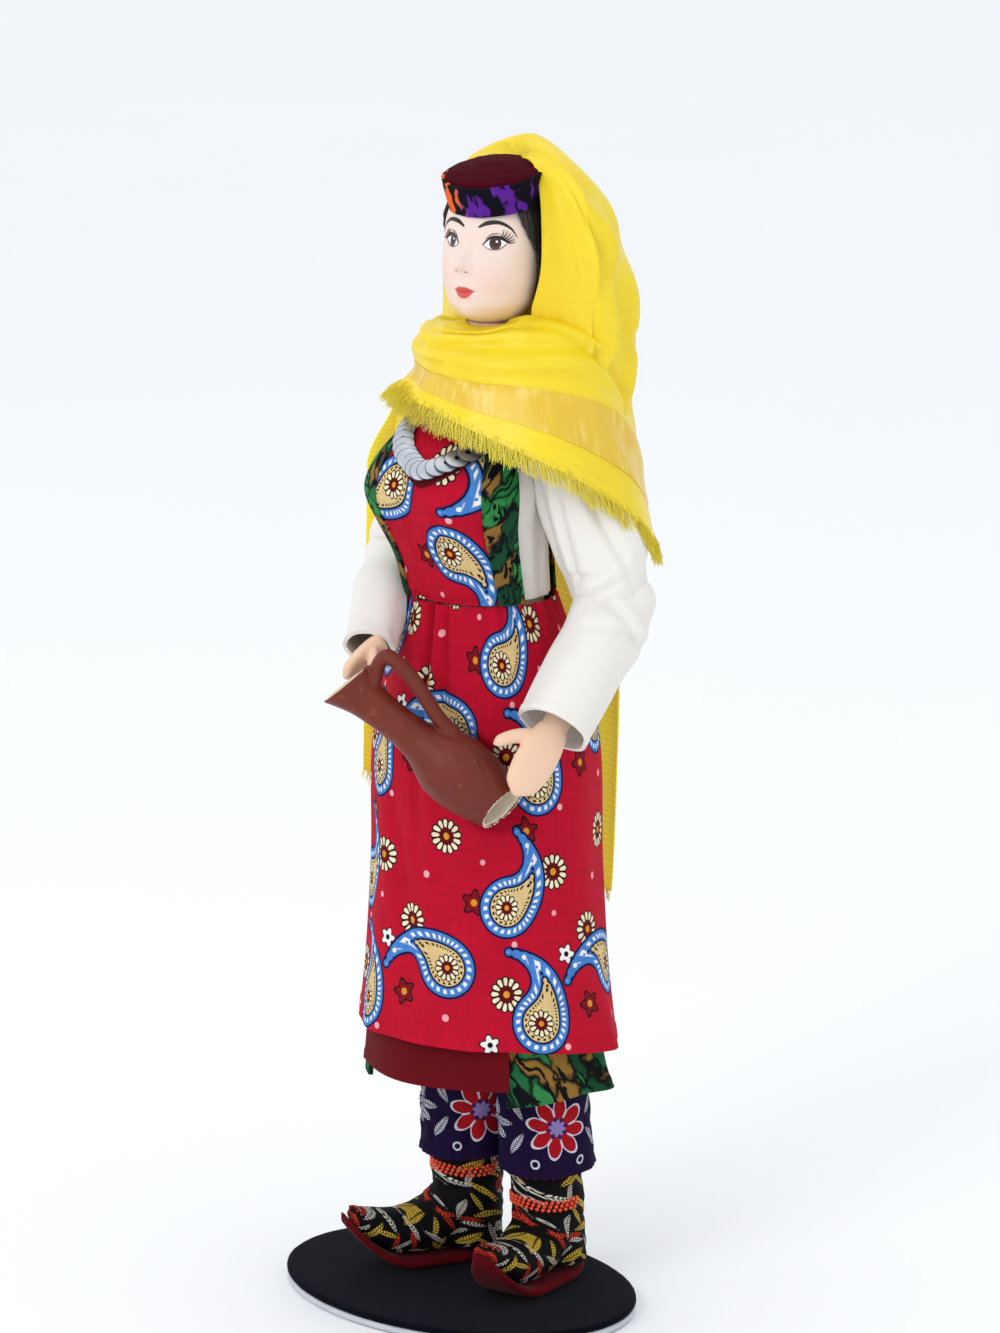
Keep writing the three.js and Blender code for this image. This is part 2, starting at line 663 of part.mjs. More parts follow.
add('neck', limb(point(0, NECK_Y, 217.4), point(0, NECK_Y, 235.1), () => 5.6, 16, 2), LOOK.bisque);
add('head', head(), LOOK.bisque);
add('hair', hair(), LOOK.hair);
add('cap_band', onHead(lathed([11.2, 0], [11.8, 0], [12.8, 7], [12.2, 7], [11.2, 0])), LOOK.batik);
add('cap_crown', onHead(lathed([0, 5.6], [11.5, 5.6], [11.6, 6.6], [8, 8], [0, 8.8])), LOOK.maroon);

add('scarf_hood', hood(), LOOK.silk);
add('scarf_roll', scarfRoll(), LOOK.silk);
add('scarf_shawl', shawl(), LOOK.silk);
add('scarf_shoulder', shoulderDrape(), LOOK.silk);
add('scarf_back', backSheet(130, 262, SCARF_SPLIT_Z, () => 200, SCARF_BACK), LOOK.silk);
add('scarf_tail', backSheet(130, 268, 199.6, (u) => 93 + 26 * u, SCARF_TAIL), LOOK.silk);

add('jug', jug(), LOOK.clay);

export default doll;
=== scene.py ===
# The looks of a standing costume doll in folk dress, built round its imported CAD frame.
# Shapes are worked out in millimetres, +Z up; the doll faces -Y and its left is +X.

import math

import bmesh
import bpy
import numpy as np
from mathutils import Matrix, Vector


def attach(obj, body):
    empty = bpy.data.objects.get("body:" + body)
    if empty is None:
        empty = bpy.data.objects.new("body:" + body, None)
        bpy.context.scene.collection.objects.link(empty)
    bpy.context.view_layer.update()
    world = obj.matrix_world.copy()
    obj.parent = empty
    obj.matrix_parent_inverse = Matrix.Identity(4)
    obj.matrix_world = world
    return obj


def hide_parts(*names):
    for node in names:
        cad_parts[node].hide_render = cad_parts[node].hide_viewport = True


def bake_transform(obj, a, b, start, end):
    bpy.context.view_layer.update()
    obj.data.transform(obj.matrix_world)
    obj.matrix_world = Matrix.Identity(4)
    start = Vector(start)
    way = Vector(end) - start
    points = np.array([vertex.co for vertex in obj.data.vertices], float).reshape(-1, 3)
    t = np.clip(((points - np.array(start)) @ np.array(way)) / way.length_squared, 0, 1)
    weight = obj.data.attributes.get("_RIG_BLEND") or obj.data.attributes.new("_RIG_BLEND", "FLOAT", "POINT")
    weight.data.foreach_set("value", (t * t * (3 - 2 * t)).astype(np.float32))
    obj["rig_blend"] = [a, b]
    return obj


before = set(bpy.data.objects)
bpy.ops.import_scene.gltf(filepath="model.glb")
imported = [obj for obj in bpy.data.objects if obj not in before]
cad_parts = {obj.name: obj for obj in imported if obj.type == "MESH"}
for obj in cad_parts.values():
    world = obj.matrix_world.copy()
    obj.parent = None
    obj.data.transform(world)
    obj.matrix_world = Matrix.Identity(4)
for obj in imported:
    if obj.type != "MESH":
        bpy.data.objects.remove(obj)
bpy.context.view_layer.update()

MM = 0.001

# ---- driving dimensions, shared with the frame ----

BODY_Y = 8
NECK_Y = 10
TRUNK_TURN = 9
FACE_TURN = 16
WAIST_Z = 171.5
ROBE_HEM_Z = 53
TROUSER_HEM_Z = 31
CHEEK_Z = 249
CAP_TILT = 13
CAP_RIM_Z = 263
HOOD_HEM_Z = 234
STAND_TURN = 10
STAND_LENGTH = 47
STAND_WIDTH = 34
STAND_TOP = 3.2

ANKLES = {"right": (-12.5, 12.5), "left": (12, 19)}
HIPS = {"right": (-9.5, 11), "left": (9.5, 13)}
HIP_Z = 113
TOES_OUT = {"right": 17, "left": -17}
SHOULDERS = {"right": (-23, 12, 206), "left": (23, 14, 206)}
ELBOWS = {"right": (-28, 5, 175), "left": (33, 20.5, 172)}
WRISTS = {"right": (-5.5, -22, 165), "left": (37.5, -3, 146.5)}
FINGERTIPS = {"right": (-10, -31.5, 159), "left": (38.5, -14.5, 133)}
PALMS_FACE = {"right": (0.45, -0.15, -0.85), "left": (-0.75, -0.1, -0.65)}
JUG_MOUTH = (1, -34.5, 155.5)
JUG_BASE = (29.5, -11, 127.5)
JUG_CLEARANCE = 10.8


# ---- numbers and vectors ----

TURN = 2 * math.pi


def lerp(a, b, t):
    return a + (b - a) * t


def bell(x, middle, width):
    """A smooth hump of height 1."""
    return np.exp(-(((x - middle) / width) ** 2))


def ease(x, low, high):
    """A smooth step from 0 to 1."""
    t = np.clip((x - low) / (high - low), 0, 1)
    return t * t * (3 - 2 * t)


def points(x, y, z):
    return np.stack(np.broadcast_arrays(x, y, z), axis=-1).astype(float)


def unit(vector):
    vector = np.asarray(vector, float)
    return vector / np.maximum(np.linalg.norm(vector, axis=-1, keepdims=True), 1e-9)


def turned(p, degrees, y0):
    """Points turned about the vertical line x = 0, y = y0."""
    c, s = math.cos(math.radians(degrees)), math.sin(math.radians(degrees))
    x, y = p[..., 0], p[..., 1] - y0
    return points(c * x - s * y, y0 + s * x + c * y, p[..., 2])


def ellipse(u, half_width, half_depth, z=0):
    """Points round the Z axis, for u from 0 to 1."""
    return points(half_width * np.cos(TURN * u), half_depth * np.sin(TURN * u), z)


def spokes(u, first, second):
    """Vectors that turn from first through second and on round, for u from 0 to 1."""
    return np.cos(TURN * u)[..., None] * first + np.sin(TURN * u)[..., None] * second


def smooth_step(t, a, b, slope_a, slope_b):
    """A step from a to b that starts and ends at the given slopes, for t from 0 to 1."""
    start = (1 + 2 * t) * (1 - t) ** 2 * a + t * (1 - t) ** 2 * slope_a
    return start + t * t * (3 - 2 * t) * b + t * t * (t - 1) * slope_b


def table(*rows):
    """A smooth curve through rows of [place, value, value, ...]."""
    rows = np.array(rows, float)
    place, values = rows[:, 0], rows[:, 1:]
    slopes = np.gradient(values, place, axis=0)

    def at(x):
        x = np.clip(np.asarray(x, float), place[0], place[-1])
        i = np.clip(np.searchsorted(place, x, side="right") - 1, 0, len(place) - 2)
        width = (place[i + 1] - place[i])[..., None]
        t = ((x - place[i])[..., None]) / width
        curve = smooth_step(t, values[i], values[i + 1], width * slopes[i], width * slopes[i + 1])
        return np.moveaxis(curve, -1, 0)

    return at


RIPPLE_WAVES = 7


def ripple(x, y, seed, pitch=(0.6, 2.2)):
    """A smooth uneven height, about -1 to 1, the same on every run."""
    chance = np.random.default_rng(seed)
    total = 0
    for _ in range(RIPPLE_WAVES):
        heading, per_unit, start = chance.uniform((0, pitch[0], 0), (math.pi, pitch[1], TURN))
        along = x * math.cos(heading) + y * math.sin(heading)
        total = total + np.sin(TURN * per_unit * along + start + np.sin(3 * along + start))
    return total / math.sqrt(RIPPLE_WAVES)


# ---- meshes ----

SHARP_ANGLE = 55


class Shape:
    """Gathers the parts of one piece: points, faces, places on the flat cloth, and materials."""

    def __init__(self):
        self.points, self.flat, self.faces, self.slots = [], [], [], []
        self.count = 0

    def add(self, p, faces, flat=None, slot=0):
        p = np.asarray(p, float).reshape(-1, 3)
        self.points.append(p)
        self.flat.append(p if flat is None else np.asarray(flat, float).reshape(-1, 3))
        self.faces += (np.asarray(faces) + self.count).tolist()
        self.slots += [slot] * len(faces)
        self.count += len(p)
        return self

    def piece(self, name, *materials):
        mesh = bpy.data.meshes.new(name)
        mesh.from_pydata((np.concatenate(self.points) * MM).tolist(), [], self.faces)
        mesh.attributes.new("cloth", "FLOAT_VECTOR", "POINT")
        mesh.attributes["cloth"].data.foreach_set("vector", np.concatenate(self.flat).ravel())
        for material in materials:
            mesh.materials.append(material)
        mesh.polygons.foreach_set("material_index", self.slots)
        shell = bmesh.new()
        shell.from_mesh(mesh)
        bmesh.ops.recalc_face_normals(shell, faces=shell.faces)
        shell.to_mesh(mesh)
        shell.free()
        mesh.shade_smooth()
        mesh.set_sharp_from_angle(angle=math.radians(SHARP_ANGLE))
        piece = bpy.data.objects.new(name, mesh)
        bpy.context.scene.collection.objects.link(piece)
        return piece


def mesh_grid(across, along, closed=False):
    """Places from 0 to 1 across and along a grid."""
    u = np.arange(across) / across if closed else np.linspace(0, 1, across + 1)
    return np.meshgrid(u, np.linspace(0, 1, along + 1))


def grid_faces(rows, columns, closed, start=0):
    j, i = np.meshgrid(np.arange(rows - 1), np.arange(columns if closed else columns - 1), indexing="ij")
    nxt = (i + 1) % columns
    corners = ((j, i), (j, nxt), (j + 1, nxt), (j + 1, i))
    quads = np.stack([row * columns + column for row, column in corners], -1)
    return quads.reshape(-1, 4) + start


def edge_faces(rows, columns):
    """The faces that join the two sides of a sheet along its edges."""
    last = columns * rows
    ends = [np.arange(columns), np.arange(columns) + (rows - 1) * columns]
    ends += [np.arange(rows) * columns, np.arange(rows) * columns + columns - 1]
    return np.concatenate([
        np.stack([line[:-1], line[1:], line[1:] + last, line[:-1] + last], -1) for line in ends
    ])


def grid_normals(p, closed):
    """Unit normals of a grid, the same at both ends of one whose ends meet."""
    du = np.gradient(p, axis=1)
    if closed:
        du[:, 0] = du[:, -1] = (p[:, 1] - p[:, -2]) / 2
    normals = unit(np.cross(du, np.gradient(p, axis=0)))
    for row, nearest in ((0, 1), (-1, -2)):
        if np.allclose(p[row], p[row, 0]):
            normals[row] = unit(normals[nearest].mean(0))
    return normals


def add_sheet(shape, surface, steps, thickness, size=(1, 1), closed=False, slot=0):
    """Adds a thin sheet: surface(u, v) is its middle, and size its width and length on the flat cloth."""
    u, v = mesh_grid(*steps)
    p = surface(u, v)
    thick = thickness(u, v) if callable(thickness) else thickness
    half = grid_normals(p, closed) * np.broadcast_to(thick, u.shape)[..., None] / 2
    flat = points(u * size[0], v * size[1], 0)
    rows, columns = u.shape
    faces = np.concatenate([
        grid_faces(rows, columns, False), grid_faces(rows, columns, False, rows * columns),
        edge_faces(rows, columns),
    ])
    both = np.concatenate([(p + half).reshape(-1, 3), (p - half).reshape(-1, 3)])
    return shape.add(both, faces, np.concatenate([flat.reshape(-1, 3)] * 2), slot)


def sheet(name, surface, steps, thickness, size, material, closed=False):
    return add_sheet(Shape(), surface, steps, thickness, size, closed).piece(name, material)


def add_skin(shape, surface, steps):
    """Adds a closed skin over rings: u runs round each ring and v from the first ring to the last."""
    p = surface(*mesh_grid(*steps, closed=True))
    rows, columns = p.shape[:2]
    middles = [p[0].mean(0), p[-1].mean(0)]
    start = shape.count
    shape.add(np.concatenate([p.reshape(-1, 3), middles]), grid_faces(rows, columns, True))
    around = np.arange(columns)
    for first, middle in ((0, rows * columns), ((rows - 1) * columns, rows * columns + 1)):
        cap = np.stack([around + first, np.roll(around, -1) + first, np.full(columns, middle)], -1)
        shape.faces += (cap + start).tolist()
        shape.slots += [0] * columns
    return shape


def skin(name, surface, steps, material):
    return add_skin(Shape(), surface, steps).piece(name, material)


def fused(name, shape, grain, rounds, *materials):
    """Melts rough overlapping solids into one smooth skin."""
    rough = shape.piece(name + "_rough", *materials)
    melt = rough.modifiers.new("melt", "REMESH")
    melt.mode = "VOXEL"
    melt.voxel_size = grain * MM
    melt.use_smooth_shade = True
    soften = rough.modifiers.new("soften", "SMOOTH")
    soften.factor = 0.5
    soften.iterations = rounds
    final = rough.evaluated_get(bpy.context.evaluated_depsgraph_get())
    mesh = bpy.data.meshes.new_from_object(final)
    bpy.data.objects.remove(rough)
    mesh.name = name
    piece = bpy.data.objects.new(name, mesh)
    bpy.context.scene.collection.objects.link(piece)
    set_flat(piece, vertex_points(piece))
    mesh.shade_smooth()
    return piece


def vertex_points(piece):
    """A mesh's points in millimetres."""
    p = np.empty(len(piece.data.vertices) * 3)
    piece.data.vertices.foreach_get("co", p)
    return p.reshape(-1, 3) / MM


def move_vertices(piece, p):
    piece.data.vertices.foreach_set("co", (p * MM).ravel())
    piece.data.update()


def set_flat(piece, flat):
    attributes = piece.data.attributes
    place = attributes.get("cloth") or attributes.new("cloth", "FLOAT_VECTOR", "POINT")
    place.data.foreach_set("vector", np.asarray(flat, float).ravel())


def settle(piece, body, slot, *nodes):
    """Ties a finished piece to a body and hides the CAD nodes it stands for; the finish given as slot is not
    used.
    """
    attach(piece, body)
    if nodes:
        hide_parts(*nodes)
    return piece


# ---- node materials ----

class Value:
    """A number that varies over a surface, written with ordinary arithmetic."""

    def __init__(self, paint, socket):
        self.paint, self.socket = paint, socket

    def __add__(self, other):
        return self.paint.math("ADD", self, other)

    def __sub__(self, other):
        return self.paint.math("SUBTRACT", self, other)

    def __rsub__(self, other):
        return self.paint.math("SUBTRACT", other, self)

    def __mul__(self, other):
        return self.paint.math("MULTIPLY", self, other)

    def __abs__(self):
        return self.paint.math("ABSOLUTE", self)


def rgb(red, green, blue):
    """A colour as Blender wants it, from 0 to 255 values as a screen shows it."""
    linear = [((c / 255 + 0.055) / 1.055) ** 2.4 if c > 10 else c / 255 / 12.92 for c in (red, green, blue)]
    return (*linear, 1)


class Paint:
    """A material whose nodes are built by short calls. Lengths are millimetres on the piece."""

    def __init__(self, name, roughness, **settings):
        self.material = bpy.data.materials.new(name)
        self.material.use_nodes = True
        self.nodes = self.material.node_tree.nodes
        self.links = self.material.node_tree.links
        self.shader = self.nodes["Principled BSDF"]
        self.shader.inputs["Roughness"].default_value = roughness
        inputs = {socket.name.lower().replace(" ", "_"): socket for socket in self.shader.inputs}
        for setting, value in settings.items():
            inputs[setting].default_value = value
        self.place = self.node("ShaderNodeAttribute", attribute_name="cloth").outputs["Vector"]

    def node(self, kind, **settings):
        node = self.nodes.new(kind)
        for setting, value in settings.items():
            setattr(node, setting, value)
        return node

    def feed(self, socket, value):
        if isinstance(value, Value):
            self.links.new(value.socket, socket)
        elif isinstance(value, bpy.types.NodeSocket):
            self.links.new(value, socket)
        else:
            socket.default_value = value

    def math(self, operation, *values):
        node = self.node("ShaderNodeMath", operation=operation)
        for socket, value in zip(node.inputs, values):
            self.feed(socket, value)
        return Value(self, node.outputs[0])

    def vector(self, operation, *values):
        node = self.node("ShaderNodeVectorMath", operation=operation)
        for socket, value in zip(node.inputs, values):
            self.feed(socket, value)
        return node.outputs[0]

    def split(self, vector):
        node = self.node("ShaderNodeSeparateXYZ")
        self.feed(node.inputs[0], vector)
        return [Value(self, socket) for socket in node.outputs]

    def texture(self, kind, size, vector=None, stretch=(1, 1, 1), **settings):
        """A texture node with features about size long."""
        node = self.node(kind, **settings)
        place = self.place if vector is None else vector
        self.feed(node.inputs["Vector"], self.vector("MULTIPLY", place, [s / size for s in stretch]))
        node.inputs["Scale"].default_value = 1
        return node

    def noise(self, size, detail=2.0, vector=None, stretch=(1, 1, 1)):
        """Uneven values from 0 to 1."""
        node = self.texture("ShaderNodeTexNoise", size, vector, stretch)
        node.inputs["Detail"].default_value = detail
        return Value(self, node.outputs["Fac"])

    def wobbled(self, amount, size):
        """The place on the cloth, shifted unevenly."""
        colour = self.texture("ShaderNodeTexNoise", size).outputs["Color"]
        centred = self.vector("SUBTRACT", colour, (0.5,) * 3)
        return self.vector("ADD", self.place, self.vector("MULTIPLY", centred, (amount,) * 3))

    def wave(self, value, period):
        """A sine from -1 to 1."""
        return self.math("SINE", value * (TURN / period))

    def below(self, value, edge, soft=0.08):
        """1 where value is under edge and 0 over it."""
        node = self.node("ShaderNodeMapRange")
        limits = (edge - soft, edge + soft, 1.0, 0.0)
        for socket, number in zip(node.inputs, (value, *limits)):
            self.feed(socket, number)
        return Value(self, node.outputs[0])

    def mix(self, mask, under, over):
        node = self.node("ShaderNodeMix", data_type="RGBA")
        for socket, value in zip((node.inputs[0], node.inputs[6], node.inputs[7]), (mask, under, over)):
            self.feed(socket, value)
        return node.outputs[2]

    def shade(self, colour, amount):
        """A colour made darker where amount is under 1."""
        node = self.node("ShaderNodeMix", data_type="RGBA", blend_type="MULTIPLY")
        node.inputs[0].default_value = 1
        grey = self.node("ShaderNodeCombineColor")
        for socket in grey.inputs:
            self.feed(socket, amount)
        self.feed(node.inputs[6], colour)
        self.feed(node.inputs[7], grey.outputs[0])
        return node.outputs[2]

    def finish(self, colour, height=None, depth=0.1):
        """Sets the colour and a bump whose height of 1 stands depth millimetres proud."""
        self.feed(self.shader.inputs["Base Color"], colour)
        if height is not None:
            bump = self.node("ShaderNodeBump")
            bump.inputs["Strength"].default_value = 1
            bump.inputs["Distance"].default_value = depth * MM
            self.feed(bump.inputs["Height"], height)
            self.feed(self.shader.inputs["Normal"], bump.outputs[0])
        return self.material

    def weave(self, period):
        """The height of a plain weave with slightly uneven threads."""
        x, y, _ = self.split(self.wobbled(0.5, 5))
        return self.wave(x, period) * self.wave(y, period) * 0.5 + 0.5

    def motif(self, centre, degrees, tile):
        """Across and along places about the nearest copy of a repeated motif."""
        moved = self.vector("SUBTRACT", self.place, (*centre, 0))
        half = (tile[0] / 2, tile[1] / 2, 1000)
        node = self.node("ShaderNodeVectorRotate", rotation_type="Z_AXIS")
        self.feed(node.inputs["Vector"], self.vector("WRAP", moved, half, [-h for h in half]))
        node.inputs["Angle"].default_value = math.radians(degrees)
        x, y, _ = self.split(node.outputs[0])
        return x, y


INK = rgb(22, 8, 14)
NAVY = rgb(16, 20, 66)
CREAM = rgb(244, 232, 196)
WHITE = rgb(245, 243, 240)
CRIMSON = rgb(188, 8, 42)
MAROON = rgb(92, 6, 18)
OCHRE = rgb(224, 150, 38)
SKY = rgb(70, 130, 205)


def radius_of(paint, x, y):
    return paint.math("SQRT", x * x + y * y)


def daisy(paint, coat, x, y, size, petals=13):
    """A cream daisy with a maroon ring and an ochre heart."""
    r = radius_of(paint, x, y)
    lobes = paint.math("COSINE", paint.math("ARCTAN2", y, x) * petals)
    rim = r - lobes * (0.07 * size)
    coat = paint.mix(paint.below(rim, size), coat, INK)
    petal = paint.below(rim, 0.9 * size) * paint.below(0 - lobes, 0.45, 0.2)
    coat = paint.mix(petal, coat, CREAM)
    coat = paint.mix(paint.below(r + lobes * (0.06 * size), 0.55 * size), coat, MAROON)
    return paint.mix(paint.below(r, 0.2 * size), coat, OCHRE)


def small_flower(paint, coat, x, y, size, petal_colour, heart_colour):
    """A flower of five petals with an inked outline."""
    r = radius_of(paint, x, y)
    lobes = paint.math("COSINE", paint.math("ARCTAN2", y, x) * 5)
    rim = r - lobes * (0.22 * size)
    coat = paint.mix(paint.below(rim, size), coat, INK)
    coat = paint.mix(paint.below(rim, 0.82 * size), coat, petal_colour)
    return paint.mix(paint.below(r, 0.3 * size), coat, heart_colour)


def paisley(paint, coat, x, y, size):
    """A drop with a curled tail: circles that shrink along an arc, melted together."""
    steps, bend = 13, 1.9
    outline = None
    for i in range(steps):
        t = i / (steps - 1)
        swing = bend * t ** 1.15
        centre = (2.1 * size * math.sin(swing) * (1 - 0.25 * t), -2.1 * size * (1 - math.cos(swing)) * 0.8)
        away = radius_of(paint, x - centre[0], y - centre[1]) - size * (0.12 + 0.88 * (1 - t) ** 1.5)
        outline = away if outline is None else paint.math("SMOOTH_MIN", outline, away, 0.25 * size)
    turn = paint.math("ARCTAN2", y, x - 0.35 * size)
    beads = paint.below(0 - paint.wave(turn, TURN / 26), -0.1, 0.4)
    coat = paint.mix(paint.below(outline, 0.08 * size), coat, NAVY)
    coat = paint.mix(paint.below(outline, 0), coat, SKY)
    band = paint.below(abs(outline + 0.17 * size), 0.07 * size)
    coat = paint.mix(band * beads, coat, WHITE)
    coat = paint.mix(paint.below(outline, -0.3 * size), coat, NAVY)
    coat = paint.mix(paint.below(outline, -0.37 * size), coat, rgb(226, 196, 138))
    dots = paint.below(abs(outline + 0.45 * size), 0.04 * size) * beads
    coat = paint.mix(dots, coat, INK)
    return daisy(paint, coat, x, y, 0.46 * size, 12)


def calico():
    """Crimson cotton printed with paisleys and little flowers."""
    paint = Paint("red_print", 0.85, specular_ior_level=0.15)
    spread = 1.13
    tile = (46 * spread, 52 * spread)

    def place(x, y, turn):
        return paint.motif((spread * x, spread * y), turn, tile)

    coat = CRIMSON
    dots = ((8, 6, 0.9), (30, 20, 0.8), (14, 37, 0.9), (42, 42, 0.8), (22, 2, 0.7), (40, 13, 0.7))
    for x, y, size in dots:
        coat = paint.mix(paint.below(radius_of(paint, *place(x, y, 0)), size), coat, rgb(240, 170, 178))
    for x, y, turn in ((20, 11, 10), (3, 33, 40), (33, 47, 25)):
        coat = small_flower(paint, coat, *place(x, y, turn), 2.9, rgb(128, 8, 26), OCHRE)
    for x, y, turn in ((43, 22, 0), (24, 42, 30)):
        coat = small_flower(paint, coat, *place(x, y, turn), 2.3, WHITE, INK)
    for x, y in ((4, 17), (28, 31), (13, 49), (40, 4)):
        coat = daisy(paint, coat, *place(x, y, 12), 4.4)
    for x, y, turn in ((14, 26, 130), (36, 37, 60), (28, 12, 25)):
        coat = paisley(paint, coat, *place(x, y, turn), 7.2)
    weave = paint.weave(0.6)
    faded = paint.noise(14, 3) * 0.25 + 0.86
    slubs = paint.noise(1.1, 3, stretch=(0.12, 1, 1)) + paint.noise(1.1, 3, stretch=(1, 0.12, 1))
    level = faded * (weave * 0.3 + 0.8) * (slubs * 0.4 + 0.6)
    return paint.finish(paint.shade(coat, level), weave + slubs, 0.08)


def batik_cloth(paint, coat):
    weave = paint.weave(0.5)
    return paint.finish(paint.shade(coat, weave * 0.3 + 0.78), weave, 0.06)


def batik(name, dark, patches, size):
    """Cotton with slanting, flame-like patches of colour between dark lines."""
    paint = Paint(name, 0.85, specular_ior_level=0.12)
    slant = paint.node("ShaderNodeVectorRotate", rotation_type="Z_AXIS")
    paint.feed(slant.inputs["Vector"], paint.wobbled(0.9 * size, 0.8 * size))
    slant.inputs["Angle"].default_value = math.radians(35)
    place = slant.outputs[0]

    def cells(feature, output):
        node = paint.texture("ShaderNodeTexVoronoi", size, place, (1.7, 0.6, 1), feature=feature)
        return Value(paint, node.outputs[output])

    edge = cells("DISTANCE_TO_EDGE", "Distance")
    patch = paint.node("ShaderNodeValToRGB")
    paint.feed(patch.inputs[0], cells("F1", "Color"))
    patch.color_ramp.interpolation = "CONSTANT"
    stops = patch.color_ramp.elements
    for i, colour in enumerate(patches):
        position = 0.25 + 0.5 * i / len(patches)
        stop = stops[i] if i < 2 else stops.new(position)
        stop.position = position
        stop.color = colour
    coat = paint.mix(paint.below(edge, 0.06, 0.05), patch.outputs[0], dark)
    streaks = paint.noise(0.55 * size, 2, place, (1.9, 0.5, 1))
    return batik_cloth(paint, paint.mix(paint.below(streaks, 0.43, 0.02), coat, dark))


def cap_print():
    """Black cotton with orange flames on one side and purple ones on the other."""
    paint = Paint("cap_batik", 0.85, specular_ior_level=0.12)
    place = paint.wobbled(4, 5)
    flames = paint.below(paint.noise(4.6, 2, place, (1, 0.55, 1)), 0.47, 0.02)
    across, _ = paint.motif((-8, 0), 0, (78, 100))
    warm = paint.below(across, 6, 1.5) * paint.below(0 - across, 16, 1.5)
    colour = paint.mix(warm, rgb(92, 34, 150), rgb(236, 104, 36))
    return batik_cloth(paint, paint.mix(flames, rgb(10, 7, 22), colour))


def plain_weave(name, colour, roughness, period, depth, fade=0.1):
    paint = Paint(name, roughness, sheen_weight=0.1, specular_ior_level=0.3)
    weave = paint.weave(period)
    slub = paint.noise(7, 3, stretch=(1, 0.15, 1))
    level = weave * 0.12 + slub * fade + (0.94 - fade / 2)
    return paint.finish(paint.shade(colour, level), weave + slub * 0.6, depth)


def twill(name, colour):
    paint = Paint(name, 0.9, sheen_weight=0.03, specular_ior_level=0.1)
    x, y, _ = paint.split(paint.wobbled(0.3, 6))
    rib = paint.wave(x + y * 0.6, 0.75) * 0.5 + 0.5
    return paint.finish(paint.shade(colour, rib * 0.35 + paint.noise(10) * 0.2 + 0.6), rib, 0.07)


def silk():
    """Yellow crepe: fine uneven ribs across the cloth and a soft gleam."""
    paint = Paint("yellow_silk", 0.38, specular_ior_level=0.5)
    rib = paint.noise(0.9, 2, stretch=(0.22, 2.0, 1))
    grain = paint.noise(0.5, 2)
    coat = paint.mix(paint.noise(20, 2), rgb(230, 196, 8), rgb(247, 224, 30))
    level = rib * 0.16 + grain * 0.1 + 0.86
    return paint.finish(paint.shade(coat, level), rib + grain * 0.5, 0.1)


def sheer_silk():
    """The single hanging layer of the scarf, paler, with its cross threads showing, and a faint yellow glow
    of painted light where light shines through it.
    """
    # painted light: a faint yellow emission makes the thin cloth glow as if lit through from behind
    paint = Paint("sheer_silk", 0.5, sheen_weight=0.3, alpha=0.86, emission_strength=0.14)
    paint.shader.inputs["Emission Color"].default_value = rgb(250, 222, 20)
    thread = paint.wave(paint.split(paint.wobbled(0.8, 7))[1], 1.3) * 0.5 + 0.5
    coat = paint.mix(thread, rgb(250, 238, 64), rgb(242, 224, 36))
    return paint.finish(coat, thread + paint.noise(1.5), 0.12)


def satin():
    paint = Paint("satin_ribbon", 0.34, specular_ior_level=0.6)
    thread = paint.wave(paint.split(paint.place)[0], 0.5) * 0.5 + 0.5
    coat = paint.mix(paint.noise(9, 2, stretch=(1, 0.2, 1)), rgb(216, 172, 22), rgb(236, 200, 52))
    # painted highlight: pale streaks mixed into the colour stand in for glints of light on the satin
    painted_glints = paint.below(0 - paint.noise(1.4, 3, stretch=(1, 0.3, 1)) * paint.noise(8, 1), -0.33, 0.1)
    return paint.finish(paint.mix(painted_glints * 0.55, coat, rgb(250, 232, 140)), thread, 0.02)


def two_tone(name, roughness, dark, light, patch, grain, depth, **settings):
    """A material that drifts between two colours: patch and grain are what noise is told."""
    paint = Paint(name, roughness, **settings)
    return paint.finish(paint.mix(paint.noise(*patch), dark, light), paint.noise(*grain), depth)


def fray():
    dark, light = rgb(212, 192, 22), rgb(246, 230, 84)
    return two_tone("fringe_thread", 0.6, dark, light, (2, 3), (0.5,), 0.05, sheen_weight=0.4)


def leaf(paint, coat, x, y, length, width, colour):
    """A pointed leaf stitched in threads that run out from its rib."""
    along = abs(x) * (1 / length)
    reach = abs(y) * (1 / width) + along * along
    stitched = paint.below(reach, 1, 0.12) * paint.below(0.1 * width, abs(y), 0.05)
    threads = paint.below(paint.wave(x + abs(y) * 0.7, 0.62), 0.35, 0.35)
    return paint.mix(stitched * threads, coat, colour)


